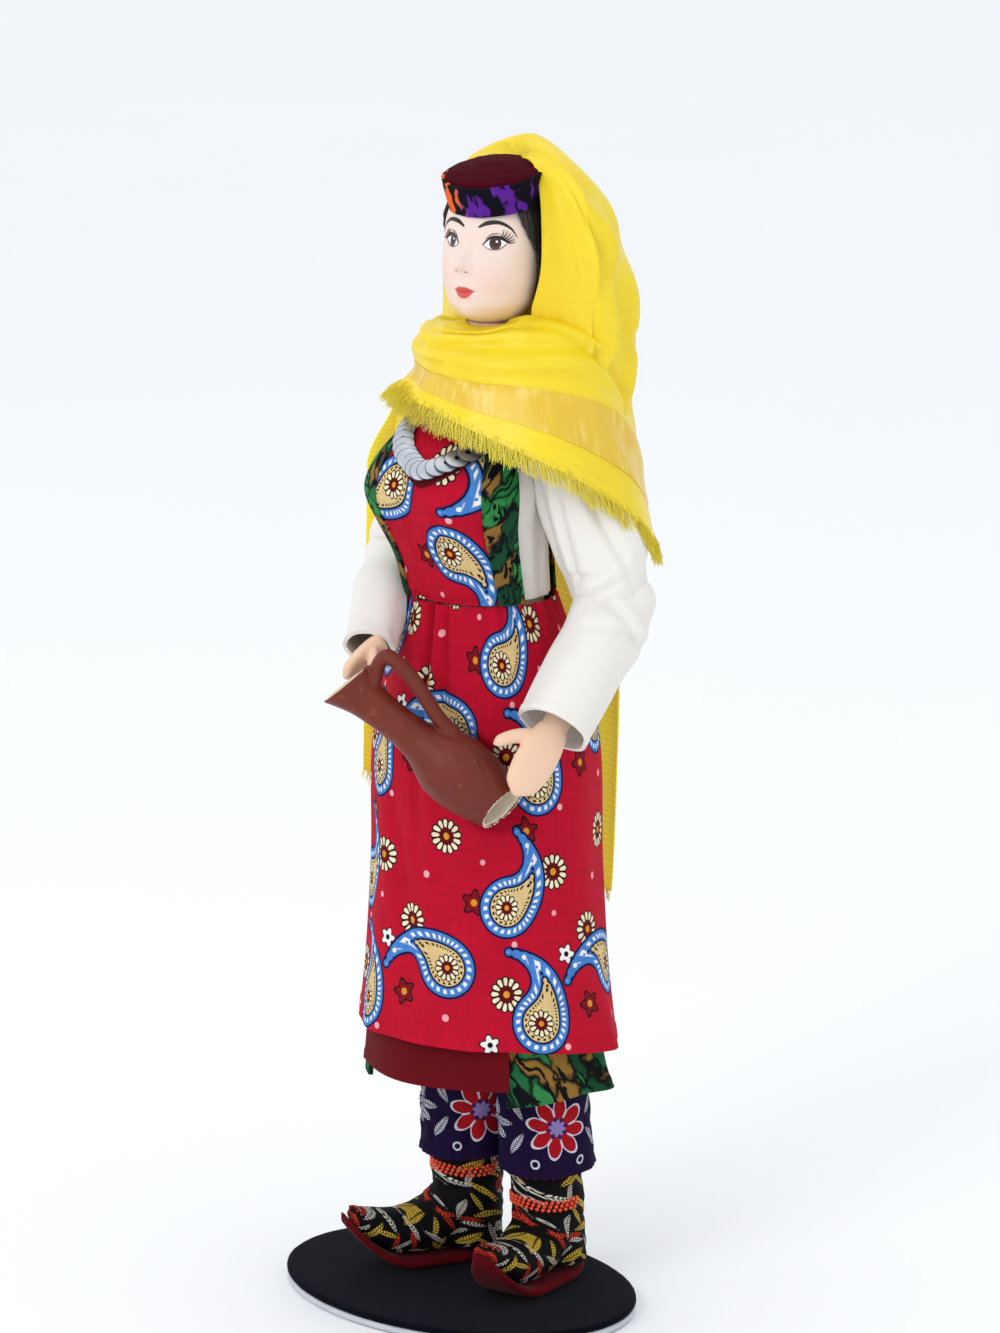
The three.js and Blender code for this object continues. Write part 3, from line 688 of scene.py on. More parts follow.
def boot_brocade():
    """Black brocade with yellow, white and orange-red leaves in thread."""
    paint = Paint("boot_brocade", 0.75, specular_ior_level=0.1)
    yellow, silver, red = rgb(222, 186, 66), rgb(214, 208, 198), rgb(206, 56, 30)
    tile = (21, 19)
    coat = rgb(9, 7, 11)
    leaves = (
        (3, 3, 35, 3.4, 1.0, yellow), (7.5, 2, 75, 3.2, 0.9, silver), (11.5, 4, 120, 3.6, 1.0, silver),
        (4, 8.5, -20, 3.2, 1.1, yellow), (9, 8, 15, 3.8, 1.0, silver), (15, 7, 60, 3.4, 1.1, yellow),
        (18, 12, 100, 3.4, 1.0, red), (13, 13, -35, 3.6, 1.0, silver), (6, 14, 50, 3.5, 1.1, yellow),
        (2, 17, 110, 3.0, 0.9, silver), (17, 17, 20, 3.2, 1.0, yellow), (10, 17.5, -60, 2.8, 0.9, red),
        (18.5, 3.5, 160, 3.0, 0.9, silver), (1, 12, 80, 2.6, 0.8, red), (11, 11, 85, 2.6, 0.8, yellow),
        (15, 1, 30, 2.8, 0.9, yellow), (20, 8, 120, 2.8, 0.9, silver), (5.5, 18, 15, 2.4, 0.8, silver),
    )
    for x, y, turn, length, width, colour in leaves:
        coat = leaf(paint, coat, *paint.motif((x, y), turn, tile), length, 0.66 * width, colour)
        second = paint.motif((x + 9, y + 7), turn + 100, tile)
        coat = leaf(paint, coat, *second, 0.8 * length, 0.55 * width, colour)
    threads = paint.wave(paint.split(paint.place)[0], 0.45) * 0.5 + 0.5
    return paint.finish(paint.shade(coat, threads * 0.3 + 0.75), threads + paint.noise(1.2), 0.09)


def trouser_brocade():
    """Purple-navy brocade with large red flowers, white leaves and little rings."""
    paint = Paint("trouser_brocade", 0.8, specular_ior_level=0.1)
    white, red, lilac = rgb(214, 214, 226), rgb(172, 18, 30), rgb(150, 130, 190)
    tile = (35, 25)
    coat = rgb(25, 9, 50)
    across, along = paint.motif((3.5, 12.5), 10, tile)
    r = radius_of(paint, across, along)
    lobes = abs(paint.math("COSINE", paint.math("ARCTAN2", along, across) * 4)) * 2 - 1
    coat = paint.mix(paint.below(r - lobes * 1.6, 6.4), coat, white)
    coat = paint.mix(paint.below(r - lobes * 1.6, 5.8) * paint.below(0 - lobes, 0.5, 0.1), coat, red)
    coat = paint.mix(paint.below(r + lobes * 0.5, 2.6), coat, rgb(60, 30, 96))
    coat = paint.mix(paint.below(r - lobes * 0.4, 1.8), coat, lilac)
    sprigs = (
        (14, 8, 55, 3.6), (14, 17, -55, 3.6), (28, 8, 125, 3.6), (28, 17, -125, 3.6), (18.4, 12.5, 0, 3.2),
        (23.6, 12.5, 0, 3.2), (21, 9.6, 90, 2.6), (21, 15.4, 90, 2.6), (19, 15, 45, 2.2), (23, 10, 45, 2.2),
    )
    for x, y, turn, length in sprigs:
        coat = leaf(paint, coat, *paint.motif((x, y), turn, tile), length, 0.95, white)
    for x, y in ((9.5, 3.6), (32.5, 3.6), (9.5, 21.4), (32.5, 21.4)):
        away = radius_of(paint, *paint.motif((x, y), 0, tile))
        coat = paint.mix(paint.below(abs(away - 0.95), 0.22), coat, white)
    dots = radius_of(paint, *paint.motif((1, 24.6), 0, (2.1, 25)))
    coat = paint.mix(paint.below(dots, 0.5), coat, red)
    threads = paint.wave(paint.split(paint.place)[1], 0.5) * 0.5 + 0.5
    return paint.finish(paint.shade(coat, threads * 0.3 + 0.75), threads, 0.07)


def nap(name, colour, lighter, sheen=0.04, depth=0.12, grain=0.8):
    """Velvet or suede: a short pile that catches light at a slant."""
    paint = Paint(name, 0.95, sheen_weight=sheen, sheen_roughness=0.4, specular_ior_level=0.06)
    pile = paint.noise(grain, 4)
    return paint.finish(paint.mix(pile * paint.noise(9, 2) * 1.6, colour, lighter), pile, depth)


def bisque(name, colour, blush):
    """Matt painted bisque with a breath of colour mottled over it."""
    paint = Paint(name, 0.55, specular_ior_level=0.3, subsurface_weight=0.08)
    paint.shader.inputs["Subsurface Radius"].default_value = (0.004, 0.002, 0.001)
    mottle = paint.noise(6, 3)
    coat = paint.mix(mottle * 0.35, colour, blush)
    return paint, coat


def face_bisque():
    paint, coat = bisque("bisque_face", rgb(238, 216, 206), rgb(232, 204, 194))
    for side in (-1, 1):
        cheek = face_point(side * 34, CHEEK_Z - 3, 0)
        away = paint.vector("SUBTRACT", paint.place, cheek)
        x, y, z = paint.split(away)
        distance = paint.math("SQRT", x * x + y * y + z * z)
        coat = paint.mix(paint.below(distance, 3.2, 3.2) * 0.22, coat, rgb(236, 168, 150))
    return paint.finish(coat, paint.noise(0.7, 3), 0.015)


def hand_bisque():
    paint, coat = bisque("bisque_hands", rgb(236, 200, 172), rgb(228, 182, 152))
    return paint.finish(coat, paint.noise(0.8, 3), 0.02)


def clay():
    paint = Paint("clay", 0.5, specular_ior_level=0.3)
    wash = paint.noise(9, 4)
    scratches = paint.noise(3, 3, stretch=(0.25, 1.4, 1))
    coat = paint.mix(wash, rgb(92, 30, 18), rgb(122, 48, 30))
    coat = paint.mix(paint.below(scratches, 0.33, 0.03) * 0.3, coat, rgb(150, 84, 64))
    return paint.finish(coat, wash + paint.noise(0.9, 3) * 0.35, 0.16)


def bare_clay():
    return two_tone("bare_clay", 0.85, rgb(204, 186, 156), rgb(232, 220, 196), (3, 4), (1.0, 3), 0.12)


def hair_strands():
    paint = Paint("hair", 0.45, anisotropic=0.4, sheen_weight=0.1)
    strand = paint.noise(0.5, 2, stretch=(1, 1, 0.06))
    return paint.finish(paint.mix(strand, rgb(8, 7, 10), rgb(30, 26, 30)), strand, 0.15)


def sequin_foil():
    """Silvery foil, darkened with painted shade at each sequin's rim, and dark round its threaded hole."""
    paint = Paint("sequin", 0.3, metallic=0.8)
    _, out, _ = paint.split(paint.place)
    coat = paint.mix(paint.noise(3, 2), rgb(172, 177, 186), rgb(218, 221, 228))
    # painted shade: the foil turns grey-blue at each sequin's rim; the dark ring round the hole stands for
    # the thread
    edges = paint.below(abs(out - 0.5), 0.43, 0.04)
    return paint.finish(paint.mix(edges, rgb(66, 70, 80), coat), paint.noise(1.5), 0.03)


def enamel(name, colour, roughness=0.4):
    paint = Paint(name, roughness)
    return paint.finish(paint.shade(colour, paint.noise(1.5, 2) * 0.2 + 0.9), paint.noise(0.5), 0.01)


def steel():
    dark, light = rgb(120, 122, 126), rgb(170, 172, 176)
    return two_tone("wire", 0.35, dark, light, (2, 3), (0.6,), 0.02, metallic=0.9)


def card():
    grain = (0.8, 3, None, (1, 1, 4))
    return two_tone("stand_board", 0.8, rgb(178, 184, 190), rgb(212, 216, 220), (4, 4), grain, 0.06)


# ---- the dressed body's surfaces ----

# [z, half width, front half depth, back half depth]
CHEST = table(
    [171.5, 18, 18.5, 16], [180, 17.5, 21, 15.5], [190, 17.5, 25, 15], [199, 18.5, 27.5, 14.5],
    [206, 17.5, 24.5, 13.5], [212, 14.5, 18, 12], [217, 9.5, 10.5, 9],
)
SKIRT = table(
    [62, 33, 31, 31], [80, 31, 29, 29], [105, 29.5, 27, 27.5], [140, 28, 25.5, 26],
    [152, 25.5, 23, 23.5], [162, 21.5, 20.5, 19.5], [171.2, 18, 18.5, 16],
)
HIP_SHAPE = table([103, 17, 12, 13], [125, 18.5, 14, 15], [150, 16, 13.5, 13.5], [171.5, 14.6, 15, 12.6])
BUST_FULLNESS, BUST_ANGLE, BUST_Z = 3.8, 47, 196
HEAD = table(
    [234.4, 2.5, 2.5, 2.5], [236.2, 6.2, 7.2, 5.8], [238.8, 9.0, 10.0, 8.6], [243.4, 10.6, 11.4, 10.6],
    [249, 11.1, 11.6, 11.4], [255, 11.2, 10.6, 11.8], [261, 10.1, 9.2, 11.3], [264.5, 8.2, 7.4, 9],
    [267, 4.5, 4, 5],
)


def ring(z, degrees, half_width, front, back, squareness=2.0):
    """A ring round the trunk: angle 0 is the front and 90 the doll's left."""
    angle = np.radians(degrees)
    s, c = np.sin(angle), np.cos(angle)
    power = np.where(c > 0, squareness, 2.0)
    reach = (np.abs(s) ** power + np.abs(c) ** power) ** (-1 / power)
    depth = np.where(c > 0, front, back)
    return points(s * reach * half_width, BODY_Y - c * reach * depth, z)


def chest(z, degrees, lift):
    """A point over the chest, lift outside the dress's outer surface."""
    half_width, front, back = CHEST(z)
    turn = (np.asarray(degrees, float) + 180) % 360 - 180
    lift = lift + BUST_FULLNESS * bell(np.abs(turn), BUST_ANGLE, 30) * bell(z, BUST_Z, 12)
    p = ring(z, degrees, half_width + lift, front + lift, back + lift, 2.5)
    return turned(p, TRUNK_TURN, BODY_Y)


def clear_of_jug(p, extra):
    """Moves points of the skirt in from the jug that rests against it."""
    a, b = np.array(JUG_MOUTH, float), np.array(JUG_BASE, float)
    p = p.copy()
    for _ in range(90):
        t = np.clip(((p - a) @ (b - a)) / ((b - a) @ (b - a)), 0, 1)[..., None]
        nearest = a + t * (b - a)
        close = np.linalg.norm(p - nearest, axis=-1) < JUG_CLEARANCE + extra
        inward = unit(points(-nearest[..., 0], BODY_Y - nearest[..., 1], 0))
        p[close] += 0.15 * inward[close]
    return p


def face_point(degrees, z, lift):
    """A point of the head, sculpted: degrees are measured from the middle of the face."""
    degrees, z = np.broadcast_arrays((np.asarray(degrees, float) + 180) % 360 - 180, np.asarray(z, float))
    half_width, front, back = HEAD(z)
    nose = 2.3 * bell(degrees, 0, 8 - 2 * ease(z, 249, 256)) * bell(z, 249.6, 1.9)
    nose += 1.0 * bell(degrees, 0, 6.5) * ease(z, 247.6, 250) * (1 - ease(z, 252, 259))
    nose += 0.5 * bell(np.abs(degrees), 9, 4) * bell(z, 248.6, 1.2)
    sockets = -0.75 * bell(np.abs(degrees), 30, 15) * bell(z, 254.6, 2.6)
    lips = bell(z, 244.4, 0.8) + bell(z, 242.3, 0.8) - 0.5 * bell(z, 243.3, 0.4)
    lips = 0.55 * bell(degrees, 0, 15) * lips
    chin = 0.7 * bell(degrees, 0, 20) * bell(z, 237.8, 1.8)
    cheeks = 0.35 * bell(np.abs(degrees), 38, 18) * bell(z, 247, 3.5)
    out = lift + nose + sockets + lips + chin + cheeks
    p = ring(z, degrees, half_width + out, front + out, back + out)
    return turned(p + (0, NECK_Y - BODY_Y, 0), FACE_TURN, NECK_Y)


# ---- arms: a tube along a straight line, with folds ----

def line_frame(a, b):
    """The direction of a line and two unit vectors square to it, the second of them the more upright."""
    along = unit(np.subtract(b, a))
    level = unit(np.cross(along, (0, 0, 1)) if abs(along[2]) < 0.9 else np.cross(along, (0, 1, 0)))
    return along, level, np.cross(level, along)


def tube(a, b, u, t, radius):
    """A point of a tube: u runs round it and t along it from a to b."""
    _, level, upright = line_frame(a, b)
    out = spokes(u, level, upright) * np.asarray(radius)[..., None]
    return np.asarray(a, float) + t[..., None] * np.subtract(b, a) + out


def clear_of_trunk(p, extra):
    """Moves points of a sleeve out of the trunk that it lies against."""
    high = CHEST(p[..., 2])
    low = SKIRT(p[..., 2])
    above = p[..., 2] > WAIST_Z
    half_width, front, back = (np.where(above, h, s) for h, s in zip(high, low))
    depth = np.where(p[..., 1] < BODY_Y, front, back)
    x, y = p[..., 0], p[..., 1] - BODY_Y
    share = np.clip(np.hypot(x / (half_width + extra), y / (depth + extra)), 1e-6, 1)
    return points(x / share, BODY_Y + y / share, p[..., 2])


# ---- stand ----

def oval(u, radius_cut, z):
    """A point of the stand's outline, cut in by radius_cut."""
    return turned(ellipse(u, STAND_LENGTH - radius_cut, STAND_WIDTH - radius_cut, z), STAND_TURN, 0)


def plate(name, profile, material, grain=0.0):
    """A thick oval with rounded edges: profile lists [cut in from the outline, height]."""
    cut, height = np.array(profile, float).T
    steps = len(profile) - 1

    def surface(u, v):
        i = np.rint(v * steps).astype(int)
        pile = grain * ripple(40 * u, 9 * v, 3, pitch=(1, 3)) * (cut[i] < 20)
        return oval(u, cut[i] + pile, height[i])

    return skin(name, surface, (220, steps), material)


def build_stand():
    board = [[30, 0], [1.5, 0], [0.3, 0.15], [0.05, 0.6], [0.05, 1.2], [0.3, 1.6], [1.5, 1.72], [30, 1.72]]
    velvet = [[30, 1.74], [1, 1.74], [0.25, 1.85], [0, 2.3], [0.1, 2.8], [0.5, 3.1]]
    velvet += [[cut, STAND_TOP] for cut in (1.2, 3, 30)]
    settle(plate("stand_card", board, card()), "figure", "stand_board", "stand_board")
    pile = nap("black_velvet", rgb(3, 4, 9), rgb(12, 15, 28))
    settle(plate("stand_velvet_cover", velvet, pile, 0.04), "figure", "black_velvet", "stand_velvet")


# ---- feet and legs ----

HEEL, BALL, TOE, FOOT_HALF, SOLE, TOE_LIFT = -9, 16, 32, 8.3, 2.6, 11.5
BOOT_TOP = table([-8, 22], [0, 24], [6, 23], [10, 19.5], [17, 17.2], [25, 18], [31, 19.6])


def foot_half(a):
    middle, half = (TOE + HEEL) / 2, (TOE - HEEL) / 2
    across = 1 - np.abs((a - middle) / half) ** 2.6
    return np.maximum(1.6, (FOOT_HALF - 0.05 * np.maximum(0, a)) * np.sqrt(np.maximum(0, across)))


def under_sole(a):
    """Height of the sole's underside, which curls up in front of the ball of the foot."""
    along = np.maximum(0, (a - BALL) / (TOE - BALL))
    return STAND_TOP + 0.15 + TOE_LIFT * along ** 2


def foot_point(side, a, b, z):
    """A point of a foot: a runs forward from the ankle and b to the foot's own left."""
    p = turned(points(b, -np.asarray(a), z), -TOES_OUT[side], 0)
    return p + (*ANKLES[side], 0)


def leg_centre(side, z):
    t = np.asarray((z - 0.9) / (HIP_Z - 0.9))[..., None]
    foot = np.array((*ANKLES[side], 0), float)
    hip = np.array((*HIPS[side], 0), float)
    p = foot + (hip - foot) * t
    return points(p[..., 0], p[..., 1], z)


def sole(side, material):
    def surface(u, v):
        a = lerp(HEEL, TOE, v)
        half = foot_half(a) + 0.35
        across, rise = (np.sign(w) * np.abs(w) ** 0.5 for w in (np.cos(TURN * u), np.sin(TURN * u)))
        worn = 0.12 * ripple(a / 5, across, 5)
        return foot_point(side, a, half * across + worn, under_sole(a) + SOLE * (0.5 + 0.5 * rise))

    return skin(f"{side}_suede_sole", surface, (40, 60), material)


def boot(side, material):
    """Foot and ankle of thick brocade, creased over the instep."""
    rough = Shape()

    def vamp(u, v):
        a = lerp(HEEL + 0.6, TOE - 1.6, v)
        floor = under_sole(a) + SOLE - 0.3
        half_height = (BOOT_TOP(a)[0] - floor) / 2
        across = (foot_half(a) - 0.1) * np.cos(TURN * u)
        return foot_point(side, a, across, floor + half_height * (1 + np.sin(TURN * u)))

    def shaft(u, v):
        return leg_centre(side, lerp(STAND_TOP + 4, 38, v)) + ellipse(u, 8.6, 8.6)

    add_skin(rough, vamp, (48, 40))
    add_skin(rough, shaft, (48, 24))
    piece = fused(f"{side}_brocade_boot", rough, 0.55, 7, material)
    p = vertex_points(piece)
    ankle = np.array((*ANKLES[side], 0), float)
    local = turned(p - ankle, TOES_OUT[side], 0)
    forward, height = -local[:, 1], p[:, 2]
    crease = 0.3 * np.sin(height / 1.5 + forward / 3 + ripple(height / 9, forward / 9, 11))
    crease *= bell(height, 22, 7) * ease(forward, 0, 8) + 0.5 * bell(height, 28, 5)
    away = unit((p - leg_centre(side, height)) * (1, 1, 0))
    lumps = 0.18 * ripple(p[:, 0] / 6, p[:, 1] / 6 + height / 5, 12)
    move_vertices(piece, p + away * (crease + lumps)[:, None])
    around = np.arctan2(local[:, 0], forward + 6) * 11
    set_flat(piece, points(forward + np.abs(around) * 0.4, height + 0.5 * around, 0))
    return piece


def ankle_beads(side, material):
    """Three rows of stitched beads over the front of the ankle."""
    shape = Shape()
    beads, front, spread = 17, math.radians(-62), math.radians(155)
    low = {"left": 22.2, "right": 26.2}[side]
    for row in range(3):
        for i in range(beads):
            angle = front + spread * ((i + row / 3) / beads - 0.5)
            z = low + 0.95 * row + 0.25 * math.sin(3 * angle)
            centre = leg_centre(side, z) + points(8.75 * math.cos(angle), 8.75 * math.sin(angle), 0)

            def bead(u, v, centre=centre):
                polar = math.pi * lerp(0.08, 0.92, v)
                return centre + 0.52 * ellipse(u, np.sin(polar), np.sin(polar), np.cos(polar))

            add_skin(shape, bead, (8, 4))
    return shape.piece(f"{side}_ankle_beads", material)


def padded_leg(side, material):
    def surface(u, v):
        radius = 7 + 1.4 * v + 0.25 * ripple(3 * u, 4 * v, 21)
        return leg_centre(side, lerp(39, 102, v)) + ellipse(u, radius, radius)

    return skin(f"{side}_stuffed_leg", surface, (40, 30), material)


TROUSER_SEAM = math.radians(140)
TROUSER_TOP_Z = 84


def trouser(side, material):
    """A trouser leg, a little crumpled, with its hem turned up."""
    seed = {"left": 31, "right": 32}[side]

    def surface(u, v):
        z = lerp(TROUSER_HEM_Z, TROUSER_TOP_Z, v)
        angle = TURN * u + TROUSER_SEAM
        folds = 0.35 * np.sin(3 * angle + 4 * v + seed) + 0.3 * ripple(3 * np.cos(angle), 4 * v, seed)
        radius = lerp(11.0, 9.9, v) + folds
        hang = 0.4 * np.sin(2 * angle + seed) * (1 - v)
        return leg_centre(side, z) + points(radius * np.cos(angle), radius * np.sin(angle), hang)

    def thickness(u, v):
        return 0.6 + 0.4 * (1 - ease(v, 0.04, 0.06))

    return sheet(f"{side}_trouser_cloth", surface, (96, 60), thickness, (70, 53), material, closed=True)


def build_legs():
    suede = nap("suede", rgb(62, 4, 12), rgb(112, 14, 24))
    brocade, cloth, stuffing = boot_brocade(), trouser_brocade(), padding()
    beads = enamel("coral_bead", rgb(226, 74, 40), 0.3)
    wire = steel()
    for side in ANKLES:
        settle(sole(side, suede), "figure", "suede", f"{side}_sole")
        settle(boot(side, brocade), "figure", "boot_brocade", f"{side}_boot")
        settle(ankle_beads(side, beads), "figure", "boot_brocade")
        settle(padded_leg(side, stuffing), "figure", "padding", f"{side}_leg")
        leg = settle(trouser(side, cloth), "figure", "trouser_brocade", f"{side}_trouser_leg")
        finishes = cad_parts[f"{side}_leg_wire"].data.materials
        finishes.clear()
        finishes.append(wire)


def padding():
    return plain_weave("padding", rgb(222, 212, 192), 0.95, period=0.8, depth=0.08)


# ---- trunk and dress ----

def build_torso():
    def surface(u, v):
        z = lerp(103, 214, v)
        low = turned(ring(z, 360 * u, *HIP_SHAPE(z)), TRUNK_TURN, BODY_Y)
        return np.where((z < WAIST_Z)[..., None], low, chest(z, 360 * u, -3.6))

    piece = skin("stuffed_torso", surface, (64, 60), padding())
    settle(piece, "figure", "padding", "torso")


def creases(lines, along, across):
    """How far a cloth stands proud. A crease is [start, its place, end, its place, depth, width]."""
    total = 0
    for start, start_place, end, end_place, depth, width in lines:
        t = (along - start) / (end - start)
        fade = np.sin(math.pi * np.clip(t, 0, 1)) ** 0.7
        away = across - lerp(start_place, end_place, t)
        total = total + fade * depth * (0.6 * bell(away, -1.6 * width, 1.2 * width) - bell(away, 0, width))
    return total


def hem_flick(degrees, drop, middle, width, reach):
    """The corner of a panel that stands out from the hem."""
    return reach * bell(degrees, middle, width) * drop ** 5


def skirt_folds(degrees, drop):
    """Soft folds of the skirt: gathers at the waist, two pleats in front, and waves down to the hem."""
    a = np.radians(degrees)
    waves = 0.75 * np.sin(4 * a + 0.9) + 0.5 * np.sin(7 * a + 2.4 + 0.8 * drop) + 0.25 * np.sin(13 * a + 4)
    gathers = 0.32 * np.sin(34 * a + np.sin(5 * a)) * np.exp(-drop / 0.09)
    pleats = -2.4 * bell(degrees, 9 + 7 * drop, 3.4) - 1.5 * bell(degrees, 21 + 9 * drop, 3.0)
    ridge = 0.9 * bell(degrees, 15 + 8 * drop, 4.0)
    side_fold = -1.1 * bell(degrees, -22 + 40 * drop, 5)
    side_fold = side_fold * ease(drop, 0.35, 0.5) * (1 - ease(drop, 0.8, 0.95))
    fade = np.exp(-((drop / 0.42) ** 2))
    return waves * drop ** 0.7 + gathers + (pleats + ridge) * fade + side_fold


def build_skirt(material):
    def surface(u, v):
        degrees = 360 * u - 180
        hem = 65.6 + 2.8 * np.cos(np.radians(degrees - 5)) - 0.8 * bell(degrees, 112, 20)
        z = lerp(WAIST_Z - 0.4, hem, v)
        half_width, front, back = SKIRT(z)
        out = skirt_folds(degrees, v) + hem_flick(degrees, v, 113, 9, 3.0) - 0.4
        p = ring(z, degrees, half_width + out, front + out, back + out)
        return clear_of_jug(p, 0.3)

    def thickness(u, v):
        return 0.55 + 0.45 * ease(v, 0.972, 0.978)

    piece = sheet("skirt_cloth", surface, (300, 130), thickness, (205, 108), material, closed=True)
    settle(piece, "figure", "red_print", "skirt")


def build_robe():
    """The long under robe: a maroon front panel and batik round the sides and back."""
    maroon = twill("maroon_twill", rgb(104, 8, 20))
    patches = [rgb(22, 74, 44), rgb(52, 132, 74), rgb(176, 128, 52), rgb(34, 104, 62), rgb(150, 112, 48)]
    green = batik("green_batik", rgb(8, 12, 14), patches, 8.5)

    def panel(start, end, hem_z, out, flick):
        def surface(u, v):
            degrees = lerp(start, end, u)
            z = lerp(104, hem_z, v)
            waves = 0.5 * np.sin(np.radians(degrees) * 6 + 1) * v
            radius = 25.7 + 4.1 * v + out + waves + hem_flick(degrees, v, 117, 8, flick)
            return ring(z, degrees, radius + 0.2, radius - 2, radius - 2)
        return surface

    def thickness(u, v):
        return 0.6 + 0.4 * ease(v, 0.95, 0.96)

    front_panel = panel(-34, 59, 57.5, 0.5, 0)
    back_panel = panel(58, 328, ROBE_HEM_Z + 0.3, -0.6, 3.6)
    front = sheet("robe_front_cloth", front_panel, (90, 50), thickness, (50, 46), maroon)
    back = sheet("robe_batik_cloth", back_panel, (220, 50), thickness, (140, 51), green)
    settle(front, "figure", "maroon_twill", "robe_front")
    settle(back, "figure", "green_batik", "robe_back")


def chest_panel(start, end, low, high, lift, folds=None):
    """A surface over the chest between two angles; start and end may be functions of height."""
    def surface(u, v):
        z = lerp(low, high, v)
        a = start(z) if callable(start) else start
        b = end(z) if callable(end) else end
        degrees = lerp(a, b, u)
        return chest(z, degrees, lift + (folds(degrees, z) if folds else 0))
    return surface


def bodice_creases(degrees, z):
    """The dart under the bust and small pulls at the waist seam."""
    dart = -0.7 * bell(degrees - 0.9 * (z - 190), 22, 3.2) * bell(z, 188, 6)
    pulls = 0.22 * np.sin(np.radians(degrees) * 26) * bell(z, 171.5, 3.5)
    seam = -0.35 * bell(z, 172.2, 0.7)
    return dart + pulls + seam + 0.15 * ripple(degrees / 25, z / 12, 41)


# Where each front border starts and how far it reaches, in degrees from the middle, and its width
FRONT_BORDERS = {"left": (49.5, 20, 0.0095), "right": (27, 30, 0.0135)}


def border_edge(sign, start):
    """The inner or outer edge of a front border, which spreads a little towards the waist."""
    return lambda z: sign * (start + 3 * np.maximum(0, (190 - z) / 20))


def build_bodice(calico_cloth):
    patches = [rgb(24, 76, 50), rgb(52, 142, 74), rgb(140, 108, 52), rgb(150, 112, 54), rgb(40, 124, 64)]
    green = batik("border_batik", rgb(9, 12, 20), patches, 6.2)
    panels = (
        ("front", (-52, 52, WAIST_Z, 214, -1.0), (110, 70), (42, 44), (0.045, 0.046)),
        ("back", (150, 210, WAIST_Z, 211, -1.2), (60, 50), (18, 40), (0.019, 0.040)),
    )
    for place, limits, steps, size, flat in panels:
        surface = chest_panel(*limits, bodice_creases)
        panel = sheet(f"bodice_{place}_cloth", surface, steps, 0.5, size, calico_cloth)
        settle(panel, "figure", "red_print", f"bodice_{place}")
    for side, sign in (("left", 1), ("right", -1)):
        start, spread, width = FRONT_BORDERS[side]
        edges = border_edge(sign, start), border_edge(sign, start + spread)
        front_strip = chest_panel(*edges, WAIST_Z, 212.5, -0.45)
        back_strip = chest_panel(180 - sign * 29, 180 - sign * 45, WAIST_Z, 210.5, -0.6)
        strips = (("front", front_strip, (width, 0.044)), ("back", back_strip, (0.0048, 0.040)))
        for place, surface, size in strips:
            name = f"{side}_{place}_border_cloth"
            flat = (size[0] / MM, size[1] / MM)
            strip = sheet(name, surface, (24, 70), 0.55, flat, green)
            settle(strip, "figure", "green_batik", f"{side}_{place}_border")
            size[0] * size[1]


def build_blouse(linen):
    """The blouse's body, which shows in pleats at the armholes."""
    def folds(degrees, z):
        at_sides = bell(np.abs((degrees + 180) % 360 - 180), 92, 24)
        pleats = np.sin(np.radians(degrees) * 17 + 0.05 * z)
        return (0.5 * pleats + 1.3) * at_sides * bell(z, 190, 26)

    surface = chest_panel(0, 360, 172, 211.5, -2.3, folds)
    piece = sheet("blouse_cloth", surface, (260, 60), 0.45, (118, 46), linen, closed=True)
    settle(piece, "figure", "linen", "blouse_body")


# [lowest height, its angle, half the angle between the ends, height of the ends]
COLLAR_LOOP = (200.4, 12, 50, 212.5)
NECKLACE_LOOP = (204.3, 12, 48, 213.6)


def chest_loop(loop, swing):
    """Height and angle along a U that hangs on the chest, for swing from -1 to 1."""
    bottom_z, middle, half_angle, top_z = loop
    return bottom_z + (top_z - bottom_z) * np.abs(swing) ** 1.4, middle + swing * half_angle


def build_collar():
    maroon = twill("collar_twill", rgb(96, 10, 22))

    def surface(u, v):
        z, degrees = chest_loop(COLLAR_LOOP, 2 * v - 1)
        return chest(z + 3.4 * u * (1 - 0.3 * np.abs(2 * v - 1)), degrees * (1 - 0.12 * u), -0.35)

    piece = sheet("collar_cloth", surface, (10, 80), 0.55, (10, 48), maroon)
    settle(piece, "figure", "maroon_twill", "collar_band")


SEQUINS, SEQUIN_RADIUS, SEQUIN_HOLE, SEQUIN_TILT = 19, 2.8, 0.5, 0.13


def build_necklace():
    """Overlapping sequins, each a shallow dish with a threaded hole, sewn in a U."""
    shape = Shape()
    chance = np.random.default_rng(7)
    for i in range(SEQUINS):
        swing = lerp(-1, 1, i / (SEQUINS - 1))
        z, degrees = chest_loop(NECKLACE_LOOP, swing)
        centre = chest(z, degrees, 0.85)
        up = unit(chest(z + 1, degrees, 0.55) - centre)
        across = unit(chest(z, degrees + 4, 0.55) - centre)
        across = unit(across - up * (across @ up))
        out = np.cross(across, up)
        along = chest(*chest_loop(NECKLACE_LOOP, swing + 0.05), 0.85) - centre
        out = unit(out + SEQUIN_TILT * unit(along) + chance.uniform(-0.06, 0.06, 3))
        across = unit(across - out * (across @ out))
        up = np.cross(out, across)

        def dish(u, v, centre=centre, up=up, across=across, out=out):
            radius = lerp(SEQUIN_HOLE, SEQUIN_RADIUS, v) + 0.02 * np.sin(TURN * u * 24) * (v > 0.9)
            crown = 0.28 * (1 - v ** 2)
            return centre + spokes(u, across, up) * radius[..., None] + out * crown[..., None]

        add_sheet(shape, dish, (28, 6), 0.12, closed=True)
    piece = shape.piece("necklace_sequins", sequin_foil())
    settle(piece, "figure", "sequin", "necklace")


# ---- arms ----

